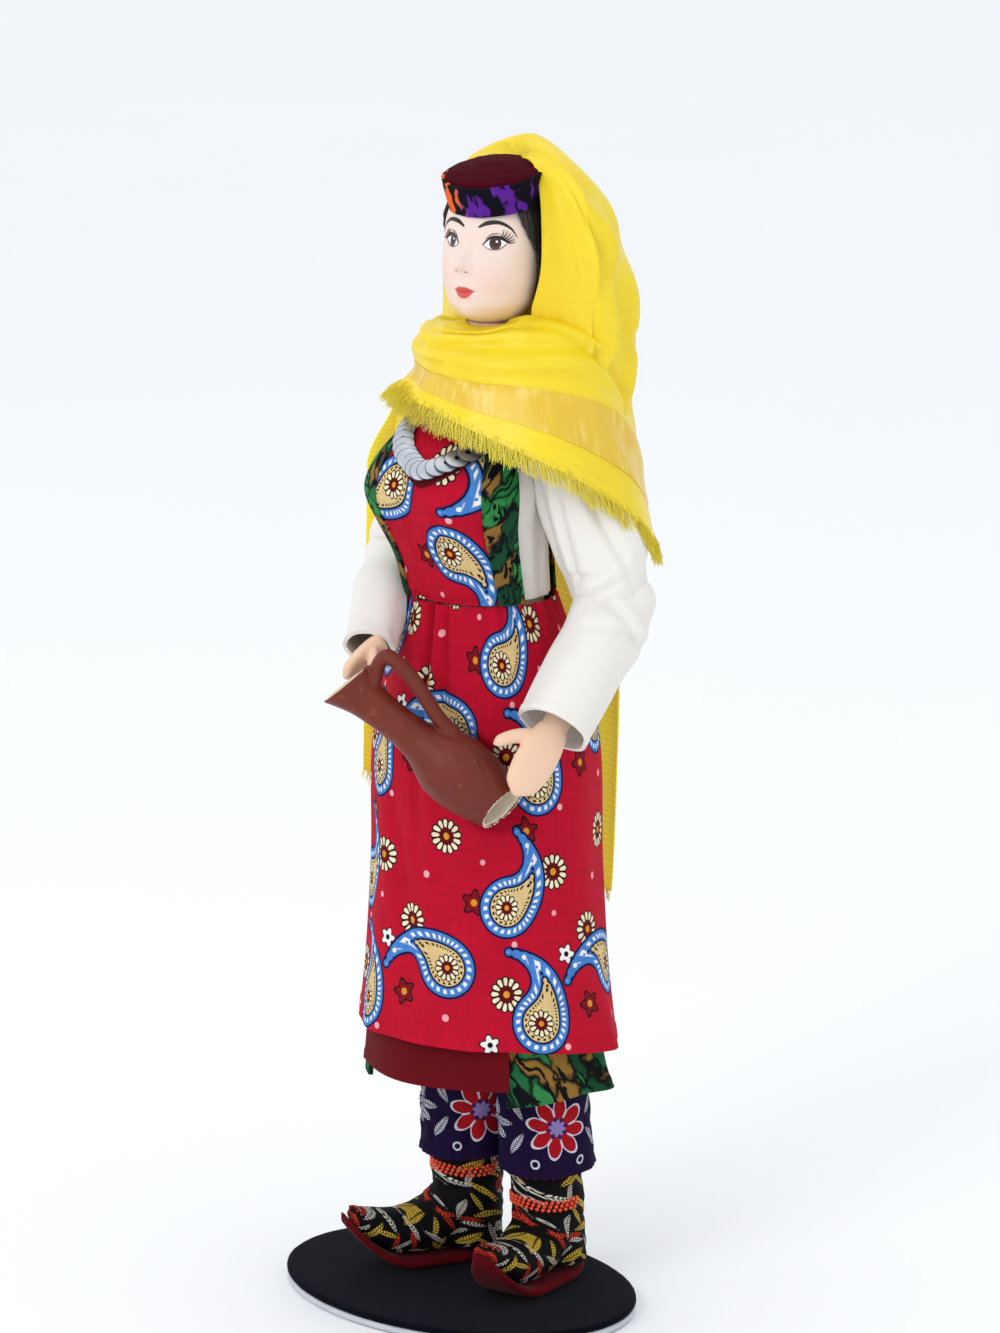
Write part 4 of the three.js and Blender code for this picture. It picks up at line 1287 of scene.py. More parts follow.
ARM_BODIES = {"left": ("left_upper_arm", "left_forearm"), "right": ("right_arm", "right_arm")}
UPPER_RADIUS = table([-0.2, 5.5], [0, 8.2], [0.25, 9.6], [0.5, 10.1], [0.7, 10.3], [0.88, 9.3], [1.02, 7.6])
LOWER_RADIUS = table([0, 9.0], [0.3, 9.4], [0.7, 9.1], [1, 8.7])
SLEEVE_TUCK = 0.21
CUFF_END = {"left": 1.0, "right": 1.05}
RIGHT_CUFF_SAG = 3.2

# Creases along the upper sleeve, round its elbow, and round the lower sleeve
UPPER_FOLDS = (
    (-0.1, 0.80, 0.85, 0.76, 1.0, 0.022), (0.1, 0.90, 1.0, 0.97, 0.9, 0.022),
    (-0.1, 0.68, 0.7, 0.64, 0.9, 0.022), (0.0, 0.05, 0.9, 0.10, 0.8, 0.025),
    (0.1, 0.42, 1.0, 0.46, 0.8, 0.025),
)
ELBOW_FOLDS = (
    (0.6, 0.96, 1.0, 0.80, 0.9, 0.04), (0.1, 0.80, 0.6, 0.92, 0.8, 0.04),
    (0.7, 0.72, 0.95, 0.78, 0.6, 0.03),
)
LOWER_FOLDS = (
    (0.15, 0.06, 0.6, 0.26, 0.9, 0.04), (0.25, 0.36, 0.7, 0.16, 0.7, 0.045),
    (0.6, 0.3, 0.98, 0.12, 0.7, 0.04),
)


def sleeve_dents(u, t, seed):
    return ripple(np.cos(TURN * u), 1.5 * t + np.sin(TURN * u), seed, pitch=(0.3, 0.9))


def upper_sleeve(side):
    """The upper sleeve, which narrows into the lower one at the elbow."""
    a, b = SHOULDERS[side], ELBOWS[side]
    seed = {"left": 51, "right": 52}[side]
    full = {"left": 1.0, "right": 0.86}[side]

    def surface(u, v):
        t = lerp(-0.2, 1.02, v)
        hang = 0.55 * np.sin(TURN * (2 * u + 0.3 * t) + seed) + 0.3 * np.sin(TURN * 5 * u + 3 * t)
        squash = 0.8 * np.sin(TURN * (1.6 * t + 0.35 * np.sin(TURN * u + seed))) * ease(t, 0.5, 0.9)
        rough = 1.25 * creases(UPPER_FOLDS, t, u) + 1.2 * creases(ELBOW_FOLDS, u, t)
        rough = rough + 0.3 * sleeve_dents(u, t, seed)
        return clear_of_trunk(tube(a, b, u, t, full * UPPER_RADIUS(t)[0] + hang + squash + rough), 0.5)

    return surface


def lower_sleeve(side):
    """The lower sleeve: a rounded fold over the elbow, straight folds, and an open cuff."""
    a, b = ELBOWS[side], WRISTS[side]
    seed = {"left": 53, "right": 54}[side]

    def surface(u, v):
        t = lerp(-SLEEVE_TUCK, CUFF_END[side], v)
        dome = np.sqrt(np.clip(1 - (np.minimum(t, 0) / (SLEEVE_TUCK * 1.02)) ** 2, 0.01, 1))
        hang = 0.35 * np.sin(TURN * (2 * u + 0.2 * t) + seed) * ease(t, 0.2, 0.6)
        squash = 0.6 * np.sin(TURN * (1.7 * t + 0.4 * np.sin(TURN * u + 2))) * (1 - ease(t, 0.15, 0.7))
        rough = 0.25 * sleeve_dents(u, t, seed) + 1.35 * creases(LOWER_FOLDS, u, t)
        full = 1.0 if side == "left" else lerp(0.84, 0.68, ease(t, 0.45, 1))
        radius = (full * LOWER_RADIUS(t)[0] + hang + squash + rough) * dome
        p = tube(a, b, u, t, radius)
        if side == "right":
            p[..., 2] -= RIGHT_CUFF_SAG * ease(t, 0.45, 1.15) * (1.1 + 0.6 * np.sin(TURN * u))
        return clear_of_trunk(p, 0.6)

    return surface


def cuff_hem(u, v):
    return 0.5 + 0.45 * ease(v, 0.945, 0.955)


SLEEVE_STEPS = (150, 90)


def build_sleeves(linen):
    for side, (upper_body, lower_body) in ARM_BODIES.items():
        shoulder = np.array(SHOULDERS[side], float)
        outward = 1 if side == "left" else -1
        name = f"{side}_upper_sleeve_cloth"
        upper = sheet(name, upper_sleeve(side), SLEEVE_STEPS, 0.5, (70, 44), linen, closed=True)
        name = f"{side}_lower_sleeve_cloth"
        lower = sheet(name, lower_sleeve(side), SLEEVE_STEPS, cuff_hem, (66, 44), linen, closed=True)
        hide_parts(f"{side}_upper_sleeve")
        start = (shoulder - (outward * 8, 0, -3)) * MM
        end = (shoulder + (outward * 3, 0, -8)) * MM
        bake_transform(upper, "figure", upper_body, start=tuple(start), end=tuple(end))
        settle(lower, lower_body, "linen", f"{side}_lower_sleeve")


def build_arm_stuffing():
    stuffing = padding()
    for side, bodies in ARM_BODIES.items():
        pairs = (("upper", SHOULDERS[side], ELBOWS[side], 0.27), ("lower", ELBOWS[side], WRISTS[side], 0.0))
        for (part, a, b, start), body in zip(pairs, bodies):

            def surface(u, v, a=a, b=b, start=start):
                t = lerp(start, 0.83, v)
                return tube(a, b, u, t, 2.9 - 0.4 * t + 0.12 * ripple(3 * u, 4 * t, 61))

            node = f"{side}_upper_arm" if part == "upper" else f"{side}_forearm"
            piece = skin(f"{side}_{part}_stuffing", surface, (24, 16), stuffing)
            settle(piece, body, "padding", node)


# How each thumb runs from its root, across the palm, away from its back and along the fingers
THUMBS = {"left": (8.8, -2.6, 7.0), "right": (4.2, -6.4, 4.0)}
# How far each hand is set from its wrist's place, so that the right one rests on the jug's rim
GRIP_SHIFT = {"left": (0, 0, 0), "right": (2.6, 1.2, -2.6)}


def hand_shape(length, thumb_run, mirrored):
    """A mitten hand with a separate thumb: fingers to +Z, palm to -Y, thumb to +X."""
    flip = -1 if mirrored else 1

    def palm(u, v):
        z = lerp(-5, length, v)
        t = np.maximum(0, z / length)
        wrist = 3.0 + 0.3 * bell(z, -3, 3)
        broad = 3.2 + 1.9 * np.sin(np.pi * np.clip(t * 0.78 + 0.1, 0, 1)) - 1.2 * t ** 5
        tip = np.sqrt(np.clip(1 - ease(t, 0.8, 1.0) ** 2 * 0.96, 0.04, 1))
        half_width = np.where(z < 0, wrist, broad) * tip
        half_depth = (2.5 - 0.8 * t) * tip
        curl = -2.3 * t ** 2
        return ellipse(u, half_width, half_depth, z) * (flip, 1, 1) + points(0, curl, 0)

    def thumb(u, v):
        middle = np.array((1.4, -0.1, 3.0)) + v[..., None] * np.array(thumb_run)
        middle = middle + points(0.9 * np.sin(np.pi * v), 0, -0.6 * np.sin(np.pi * v))
        radius = (2.1 - 0.75 * v) * np.sqrt(np.clip(1.02 - ease(v, 0.8, 1.0) ** 2, 0.03, 1))
        out = spokes(u, np.array((0.72, 0, -0.69)), np.array((0, 0.85, 0))) * radius[..., None]
        return (middle + out) * (flip, 1, 1)

    return palm, thumb


def build_hands():
    paint = hand_bisque()
    for side, (_, body) in ARM_BODIES.items():
        wrist, tips = np.array(WRISTS[side], float), np.array(FINGERTIPS[side], float)
        forward = unit(tips - wrist)
        back = -np.array(PALMS_FACE[side], float)
        back = unit(back - forward * (back @ forward))
        across = np.cross(back, forward)
        shape = Shape()
        root = wrist + GRIP_SHIFT[side]
        up_sleeve = unit(wrist - np.array(ELBOWS[side], float))
        for part in hand_shape(np.linalg.norm(tips - wrist), THUMBS[side], side == "left"):

            def placed(u, v, part=part):
                p = part(u, v)
                run = np.where(p[..., 2:] < 0, up_sleeve, forward)
                return root + p[..., :1] * across + p[..., 1:2] * back + p[..., 2:] * run

            add_skin(shape, placed, (36, 30))
        hand = fused(f"{side}_bisque_hand", shape, 0.34, 8, paint)
        settle(hand, body, "bisque", f"{side}_hand")


# ---- head ----

FACE_STEP = 0.192


def build_head():
    def surface(u, v):
        z = lerp(234.4, 267, 0.5 - 0.5 * np.cos(np.pi * v))
        return face_point(360 * u, z, 0)

    def throat(u, v):
        radius = 5.5 + 0.5 * bell(v, 0, 0.3)
        return ellipse(u, radius, radius, lerp(217.4, 235.1, v)) + (0, NECK_Y, 0)

    settle(skin("bisque_head", surface, (220, 150), face_bisque()), "head", "bisque", "head")
    settle(skin("bisque_neck", throat, (48, 12), hand_bisque()), "figure", "bisque", "neck")


def stroke(shape, path, widths, lift, slot, steps=28):
    """A brush stroke on the face: path lists [across in mm, height], widths its width at each."""
    places = np.linspace(0, 1, len(path))
    line = table(*[[t, *p, w] for t, p, w in zip(places, path, widths)])

    def surface(u, v):
        x, z, width = line(v)
        dx, dz = np.gradient(x, axis=0), np.gradient(z, axis=0)
        length = np.maximum(np.hypot(dx, dz), 1e-9)
        side = (u - 0.5) * np.maximum(width, 0.05)
        return face_point((x - side * dz / length) / FACE_STEP, z + side * dx / length, lift)

    add_sheet(shape, surface, (3, steps), 0.1, slot=slot)


def spot(shape, centre, outline, lift, slot, steps=40):
    """A filled patch on the face: outline gives its edge for an angle, as [across, up]."""
    def surface(u, v):
        across, up = outline(TURN * u)
        reach = lerp(0.02, 1, v)
        return face_point((centre[0] + across * reach) / FACE_STEP, centre[1] + up * reach, lift)

    add_sheet(shape, surface, (steps, 6), 0.1, closed=True, slot=slot)


def disc(radius):
    """A round outline for a spot."""
    return lambda angle: (radius * np.cos(angle), radius * np.sin(angle))


def almond(half_width, above, beneath, slant):
    """A pointed outline for a spot."""
    def outline(angle):
        x = half_width * np.cos(angle)
        height = np.where(np.sin(angle) > 0, above, beneath)
        return x, np.sin(angle) * np.abs(np.sin(angle)) ** 0.7 * height + slant * x
    return outline


EYE_Z = 254.5
EYE_SHIFT = 1.1
LASHES = 6
LASH_REACH = {1: 1.2, -1: 0.75}
INK_SLOT, BROWN_SLOT, WHITE_SLOT, CORAL_SLOT, SHADE_SLOT, LIP_LINE_SLOT = range(6)


def paint_eye(shape, side):
    """One eye with its lid lines, lashes and brow."""
    x, z = side * 5.95 + EYE_SHIFT, EYE_Z

    def near_eye(*places):
        """Places given as [outward, up] from the eye's middle."""
        return [(x + side * outward, z + up) for outward, up in places]

    spot(shape, (x, z), almond(2.75, 1.5, 1.25, 0.06 * side), 0.0, WHITE_SLOT)
    spot(shape, (x + 0.1, z + 0.12), disc(1.45), 0.03, BROWN_SLOT)
    spot(shape, (x + 0.1, z + 0.12), disc(0.75), 0.06, INK_SLOT)
    # painted highlight: a small white dot up on the iris
    spot(shape, (x + 0.45, z + 0.5), disc(0.27), 0.09, WHITE_SLOT)
    lid = near_eye((-2.9, -0.35), (-1.6, 1.05), (0, 1.55), (1.7, 1.2), (3.2, 0.15))
    stroke(shape, lid, [0.2, 0.5, 0.66, 0.7, 0.3], 0.1, INK_SLOT)
    lower = near_eye((-2.6, -0.5), (-1.0, -1.25), (1.0, -1.2), (2.8, -0.1))
    stroke(shape, lower, [0.08, 0.2, 0.24, 0.2], 0.07, SHADE_SLOT)
    crease = near_eye((-2.2, 1.2), (-0.6, 2.25), (1.4, 2.3))
    stroke(shape, crease, [0.08, 0.26, 0.08], 0.04, SHADE_SLOT)
    for i in range(LASHES):
        t = i / (LASHES - 1)
        root = np.array((lerp(1.3, 3.0, t), lerp(1.45, 0.25, t)))
        heading = math.radians(lerp(66, 4, t))
        length = LASH_REACH[side] * lerp(1.2, 1.9, math.sin(math.pi * (0.2 + 0.6 * t)))
        tip = root + length * np.array((math.cos(heading), math.sin(heading)))
        middle = (root + tip) / 2 + (0.12, -0.16)
        stroke(shape, near_eye(root, middle, tip), [0.32, 0.22, 0.06], 0.12, INK_SLOT, 8)
    outline = ((1.9, 258.2), (4.0, 259.2), (7.0, 259.3), (9.8, 257.9), (11.4, 255.8))
    brow = [(side * across + EYE_SHIFT, height) for across, height in outline]
    stroke(shape, brow, [0.4, 0.95, 0.8, 0.5, 0.1], 0.04, INK_SLOT, 40)


def paint_mouth(shape):
    """The two lips, the line between them, and the nostrils."""
    def upper(angle):
        x = 2.75 * np.cos(angle)
        bow = 1.35 - 0.28 * bell(x, 0, 0.35) - 0.12 * np.abs(x)
        rise = np.where(np.sin(angle) > 0, bow, 0.18)
        return x, np.sin(angle) * np.abs(np.sin(angle)) ** 0.5 * rise

    def lower(angle):
        x = 2.35 * np.cos(angle)
        return x, np.sin(angle) * np.where(np.sin(angle) > 0, 0.2, 1.45) * np.abs(np.sin(angle)) ** 0.6

    spot(shape, (0, 243.3), upper, 0.0, CORAL_SLOT)
    spot(shape, (0, 243.2), lower, 0.01, CORAL_SLOT)
    line = [(-2.9, 243.6), (-1, 243.25), (0, 243.1), (1, 243.25), (2.9, 243.6)]
    stroke(shape, line, [0.06, 0.12, 0.14, 0.12, 0.06], 0.04, LIP_LINE_SLOT)
    for side in (-1, 1):
        spot(shape, (side * 1.2, 248.05), almond(0.34, 0.16, 0.14, 0), 0.0, SHADE_SLOT, 16)


def build_face_paint():
    shape = Shape()
    for side in (-1, 1):
        paint_eye(shape, side)
    paint_mouth(shape)
    piece = shape.piece(
        "face_paint", enamel("ink_paint", rgb(18, 12, 14)), enamel("brown_paint", rgb(74, 34, 26)),
        enamel("white_paint", rgb(246, 244, 242)), enamel("coral_paint", rgb(214, 84, 78), 0.5),
        enamel("shade_paint", rgb(128, 96, 88), 0.6), enamel("lip_line_paint", rgb(150, 42, 44)),
    )
    settle(piece, "head", "bisque")


def build_hair():
    def surface(u, v):
        z = lerp(240, 263, v)
        edge = lerp(103, 66, ease(v, 0.25, 1))
        degrees = lerp(edge, 360 - edge, u)
        combed = 0.12 * np.sin(np.radians(degrees) * 46 + 2 * v)
        return face_point(degrees, z, 0.75 + combed)

    piece = sheet("combed_hair", surface, (200, 50), 0.6, (40, 23), hair_strands())
    settle(piece, "head", "hair", "hair")


def on_head(p):
    """Sets a shape made about the Z axis on the head, with the cap's forward tilt."""
    tilt = math.radians(CAP_TILT)
    y = p[..., 1] * math.cos(tilt) - p[..., 2] * math.sin(tilt)
    z = p[..., 1] * math.sin(tilt) + p[..., 2] * math.cos(tilt)
    return turned(points(p[..., 0] + 1.0, NECK_Y + 0.9 + y, CAP_RIM_Z + z), FACE_TURN, NECK_Y)


def build_cap():
    velvet = nap("cap_velvet", rgb(54, 0, 14), rgb(84, 2, 24), sheen=0.02, depth=0.04, grain=0.4)

    def band(u, v):
        radius = lerp(10.7, 11.7, v) + 0.18 * np.sin(np.pi * v) + 0.08 * ripple(8 * u, v, 71)
        return on_head(ellipse(u - 0.25, radius, radius, lerp(0, 7.1, v)))

    def crown(u, v):
        radius = 11.5 * (1 - v)
        height = 6.7 + 0.5 * ease(v, 0, 0.08) + 1.5 * (1 - (1 - v) ** 2)
        height = height + 0.06 * ripple(3 * np.cos(TURN * u), 3 * v, 72)
        return on_head(ellipse(u - 0.25, radius, radius, height))

    def thickness(u, v):
        return 0.7 + 0.25 * (bell(v, 0, 0.08) + bell(v, 1, 0.08))

    side = sheet("cap_band_cloth", band, (180, 24), thickness, (78, 7), cap_print(), closed=True)
    top = sheet("cap_crown_velvet", crown, (120, 40), 0.5, (24, 12), velvet, closed=True)
    settle(side, "head", "cap_batik", "cap_band")
    settle(top, "head", "cap_velvet", "cap_crown")


# ---- scarf ----

# [angle from the back, width, height] of the hood's long folds
HOOD_FOLDS = (
    (138, 12, 1.0), (104, 5, 2.0), (82, 6, 2.6), (56, 8, 3.0), (30, 6, 2.2), (-2, 9, 2.6), (-36, 8, 2.3),
    (-70, 9, 2.6), (-104, 8, 2.2), (-136, 14, 0.9),
)
# [angle from the back, place down the hood] where each slanting crease starts and ends, its depth and width
HOOD_CREASES = (
    (138, 0.20, 60, 0.72, 1.5, 0.05), (125, 0.12, 25, 0.66, 1.4, 0.055), (142, 0.42, 92, 0.82, 1.3, 0.05),
    (105, 0.10, -15, 0.55, 1.3, 0.06), (-30, 0.15, -110, 0.6, 1.3, 0.06), (-60, 0.5, -20, 0.85, 1.2, 0.06),
)
HOOD_REACH = 150

# [angle from the front, then radius and height of six points across the wrap, from the chin to its edge]
WRAP = table(
    [-150, 26, 218, 28.5, 222, 30, 221, 31, 216, 32, 210, 34, 202],
    [-100, 13, 226, 15, 231, 19, 232, 23, 227, 24.5, 220, 30, 209],
    [-45, 6.6, 234.6, 10.4, 234.4, 15, 233.4, 18.8, 229, 17.2, 224, 21.4, 219.6],
    [0, 6.4, 234.4, 10.2, 233.8, 14.6, 232.8, 18.6, 228, 17.8, 223.6, 21.4, 217.8],
    [40, 6.4, 234.4, 10.4, 234, 16.4, 233.2, 22.6, 227.4, 23.4, 223, 26.8, 214.2],
    [75, 7, 235, 11.6, 235.6, 20.6, 234.8, 28, 228, 31, 221, 36, 206],
    [100, 9, 235.6, 14.8, 237, 25, 234.6, 31.6, 227, 35, 215, 39.4, 195.6],
    [125, 24, 224, 27, 228, 30.6, 226, 32.2, 217, 34.6, 205, 39, 184],
    [150, 27, 217, 29.6, 220, 32.2, 217, 33.2, 208, 34.8, 198, 38, 182],
)

HOOD_POLE_Y = 18
HOOD_POLE_Z = 272.4
HOOD_PEAK = 5.9


def hood_surface(u, v):
    """The hood: from the cap's back rim over the crown, down round the head, and under the wrap."""
    degrees = (2 * u - 1) * HOOD_REACH
    s, c = np.sin(np.radians(degrees)), np.cos(np.radians(degrees))
    t = 2 * v ** 0.85
    front = np.abs(degrees) / HOOD_REACH
    square = lerp(1.85, 5, front ** 2)
    arc = (math.pi / 2) * (1 - np.minimum(t, 1))
    out = np.cos(arc) ** (2 / square)
    up = np.sin(arc) ** (2 / square)
    peak = HOOD_PEAK * (1 - front ** 1.5) * (out / 0.2) * np.exp(1 - out / 0.2)
    rim_x, rim_y = 27.6 * s, 20 + np.where(c > 0, 23.6, 7) * c
    fall = np.maximum(t - 1, 0)
    behind = 1 - ease(np.abs(degrees), 95, 120)
    low_x = lerp(11.2 * np.sign(s), 31 * s, behind)
    low_y = lerp(11.5, BODY_Y + 31 * c, behind)
    low_z = lerp(226, 203, behind)
    rim_z = HOOD_HEM_Z + (HOOD_POLE_Z - HOOD_HEM_Z + peak) * up
    z = np.where(t < 1, rim_z, lerp(HOOD_HEM_Z, low_z, fall))
    hug = ease(front, 0.62, 1) * bell(z, 236, 8)
    hanging = ease(fall, 0, 1)
    x = lerp(rim_x * out, low_x, hanging) - 2.4 * np.sign(s) * hug
    y = lerp(HOOD_POLE_Y + (rim_y - HOOD_POLE_Y) * out, low_y, hanging) - 1.6 * hug
    spread = degrees - 12 * (t - 1) * np.sign(degrees)
    folds = sum(height * bell(spread, middle, width) for middle, width, height in HOOD_FOLDS) - 0.9
    folds = folds * ease(t, 0.25, 1.25) * (1 + 0.5 * fall)
    folds = folds + 0.4 * ripple(degrees / 60, t, 81, pitch=(0.4, 1.1)) * ease(t, 0.1, 0.6)
    folds = folds + creases(HOOD_CREASES, degrees, v)
    away = unit(points(x, y - NECK_Y - 4, 0))
    return points(x, y, z) + away * (folds * (1 - ease(front, 0.9, 1)))[..., None]


# [angle, place across the wrap] where each crease starts and ends, then its depth and width
WRAP_CREASES = (
    (-25, 0.36, 100, 0.24, 1.3, 0.045), (-35, 0.52, 62, 0.45, 1.2, 0.05), (-50, 0.64, 40, 0.61, 0.9, 0.045),
    (35, 0.42, 120, 0.55, 1.2, 0.055), (70, 0.30, 135, 0.62, 1.2, 0.06), (15, 0.57, 125, 0.70, 0.9, 0.045),
    (-75, 0.45, -8, 0.56, 1.1, 0.05), (-120, 0.5, -60, 0.4, 1.2, 0.07), (95, 0.78, 145, 0.9, 0.8, 0.05),
)


def wrap_surface(u, v, lift=0.0):
    """The scarf's end wound under the chin and spread over the chest and left shoulder."""
    degrees = lerp(-150, 150, u)
    rows = WRAP(degrees)
    places = np.linspace(0, 1, 6)
    radius = across_table(places, rows[0::2], v)
    height = across_table(places, rows[1::2], v)
    fine = 0.22 * ripple(degrees / 60, 2.2 * v, 83) * bell(v, 0.45, 0.4)
    drape = 0.5 * np.sin(np.radians(degrees) * 9 + 2.5 * v) * ease(v, 0.6, 1)
    bend = 0.012 * np.sin(np.radians(degrees) * 5)
    out = 1.35 * creases(WRAP_CREASES, degrees, v + bend) + fine + drape + lift
    a = np.radians(degrees)
    tilt = out * 0.45 * bell(v, 0.3, 0.25)
    return points(np.sin(a) * (radius + out), NECK_Y - np.cos(a) * (radius + out), height + tilt)


def across_table(places, rows, v):
    """Smooth steps across the columns of a grid of tables."""
    slopes = np.gradient(rows, places, axis=0)
    step = places[1] - places[0]
    i = np.clip((v / step).astype(int), 0, len(places) - 2)
    t = v / step - i
    place = (np.arange(rows.shape[1])[:, None], np.arange(rows.shape[2])[None, :])
    a, b = rows[(i, *place)], rows[(i + 1, *place)]
    return smooth_step(t, a, b, slopes[(i, *place)] * step, slopes[(i + 1, *place)] * step)


SHAWL_START = (0.014, 0.012, 0.214)
SHAWL_END = (0.034, 0.020, 0.194)


def over_shoulder(piece):
    """Lets a piece of the scarf follow the left arm where it lies on it."""
    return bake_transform(piece, "figure", "left_upper_arm", start=SHAWL_START, end=SHAWL_END)


def build_hood(yellow):
    def thickness(u, v):
        return 0.45 + 0.5 * (bell(u, 0, 0.012) + bell(u, 1, 0.012))

    hood = sheet("scarf_hood_cloth", hood_surface, (300, 150), thickness, (150, 80), yellow)
    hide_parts("scarf_hood", "scarf_back")
    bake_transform(hood, "figure", "head", start=(0, 0.010, 0.218), end=(0, 0.010, 0.243))


def build_wrap(yellow):
    wrap = sheet("scarf_wrap_cloth", wrap_surface, (320, 110), 0.5, (150, 40), yellow)
    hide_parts("scarf_roll", "scarf_shawl", "scarf_shoulder")
    ribbon = sheet("satin_ribbon_cloth", ribbon_surface, (300, 16), 0.22, (150, 7), satin())
    fringe = fringe_piece()
    for piece in (wrap, ribbon, fringe):
        over_shoulder(piece)


RIBBON_START, RIBBON_END = 0.745, 0.905


def ribbon_surface(u, v):
    return wrap_surface(u, lerp(RIBBON_START, RIBBON_END, v), 0.42)


FRINGE_LENGTH = 5.2
FRINGE_THREADS = 2600
EDGE_THREADS = 4
TAIL_THREADS = 420


def fringe_piece():
    """Threads frayed out along the wrap's edge, with a few left that run beside it."""
    shape = Shape()
    chance = np.random.default_rng(17)
    count = FRINGE_THREADS
    across = np.sort(chance.uniform(0, 1, count))[None, :]
    inner, edge = (wrap_surface(across, np.full(across.shape, v))[0] for v in (0.93, 1.0))
    down = unit(edge - inner)
    tuft = 0.5 + 0.5 * np.sin(across[0] * 190) * np.sin(across[0] * 77 + 1)
    for root, heading, tufted in zip(edge, down, tuft):
        length = FRINGE_LENGTH * lerp(0.65, 1, tufted) * chance.uniform(0.8, 1.1)
        tip = root + heading * length + chance.normal(0, 1, 3) * (0.6, 0.6, 0.25)
        root = root - heading * 1.2 + chance.normal(0, 0.2, 3)
        add_thread(shape, [root, (root + tip) / 2 + chance.normal(0, 0.35, 3), tip], 0.12)
    for i in range(EDGE_THREADS):
        shift = (0.6 + 1.0 * i) * np.ones(count) + 0.25 * ripple(across[0] * 40, i, 19)
        line = edge + down * shift[:, None] + chance.normal(0, 0.12, (count, 3))
        for start in range(0, count - 60, 60):
            add_thread(shape, line[start:start + 66:6], 0.1, 0.0)
    return shape.piece("frayed_fringe", fray())


def add_thread(shape, line, radius, taper=0.6):
    """A thin three-sided thread along a line of points."""
    line = np.asarray(line)
    _, e1, e2 = line_frame(line[0], line[-1])
    corners = spokes(np.arange(3) / 3, e1, e2)
    sizes = radius * (1 - taper * np.linspace(0, 1, len(line)))
    shape.add(line[:, None, :] + corners * sizes[:, None, None], grid_faces(len(line), 3, True))
    for end in (shape.count - 3 * len(line), shape.count - 3):
        shape.faces.append([end, end + 1, end + 2])
        shape.slots.append(0)


TAIL_NEAR_EDGE = table([92, 172], [150, 166], [200, 148], [216, 138])


def tail_surface(u, v):
    """The hanging end of the scarf behind the skirt, from the left of the back round to the right side."""
    hem = 93 + 27 * u
    z = lerp(216, hem, v)
    degrees = lerp(TAIL_NEAR_EDGE(z)[0], 275, u)
    half_width = lerp(30, 41.5, ease(v, 0, 0.22)) + 1.2 * v
    depth = lerp(27, 33.5, ease(v, 0, 0.22)) + 1.0 * v
    folds = 1.1 * np.sin(np.radians(degrees) * 13 + 1.5 * v) + 0.6 * np.sin(np.radians(degrees) * 23 + 2)
    out = folds * ease(v, 0.02, 0.3) - 0.6
    return ring(z, degrees, half_width + out, depth + out, depth + out)


def build_tail():
    tail = sheet("scarf_tail_cloth", tail_surface, (200, 150), 0.35, (78, 110), sheer_silk())
    shape = Shape()
    chance = np.random.default_rng(23)
    across = np.sort(chance.uniform(0, 1, TAIL_THREADS))[None, :]
    edge = tail_surface(across, np.ones_like(across))[0]
    for root in edge:
        tip = root + (*chance.normal(0, 0.7, 2), -chance.uniform(1.4, 3.4))
        add_thread(shape, [root + (0, 0, 0.5), (root + tip) / 2 + chance.normal(0, 0.2, 3), tip], 0.12)
    frayed = shape.piece("frayed_tail", fray())
    settle(tail, "figure", "yellow_silk", "scarf_tail")
    settle(frayed, "figure", "yellow_silk")


# ---- jug ----

JUG_RADIUS = table(
    [0, 6.7], [2, 5.9], [5, 4.9], [10, 4.3], [16, 4.25], [22, 5.0], [26, 6.9], [29, 8.1], [32, 8.5],
    [36, 8.3], [41, 7.5], [46.4, 6.3],
)
# [place, distance along the jug, distance from its axis] of the handle's middle
JUG_HANDLE = table(
    [0, 5, 4.4], [0.16, 3.2, 8.6], [0.28, 3.6, 11.2], [0.42, 8, 11.4], [0.66, 15, 9.6], [0.85, 22, 7.2],
    [1, 27, 6.6],
)
JUG_WALL = 1.1
MOUTH_SLANT = 0.22
FOOT_SLANT = 0.34


def jug_frame():
    """The jug's mouth, its axis, and the way its handle points."""
    mouth, base = np.array(JUG_MOUTH, float), np.array(JUG_BASE, float)
    axis = unit(base - mouth)
    upward = unit(np.array((0, 0, 1.0)) - axis * axis[2])
    return mouth, np.linalg.norm(base - mouth), axis, upward, np.cross(upward, axis)


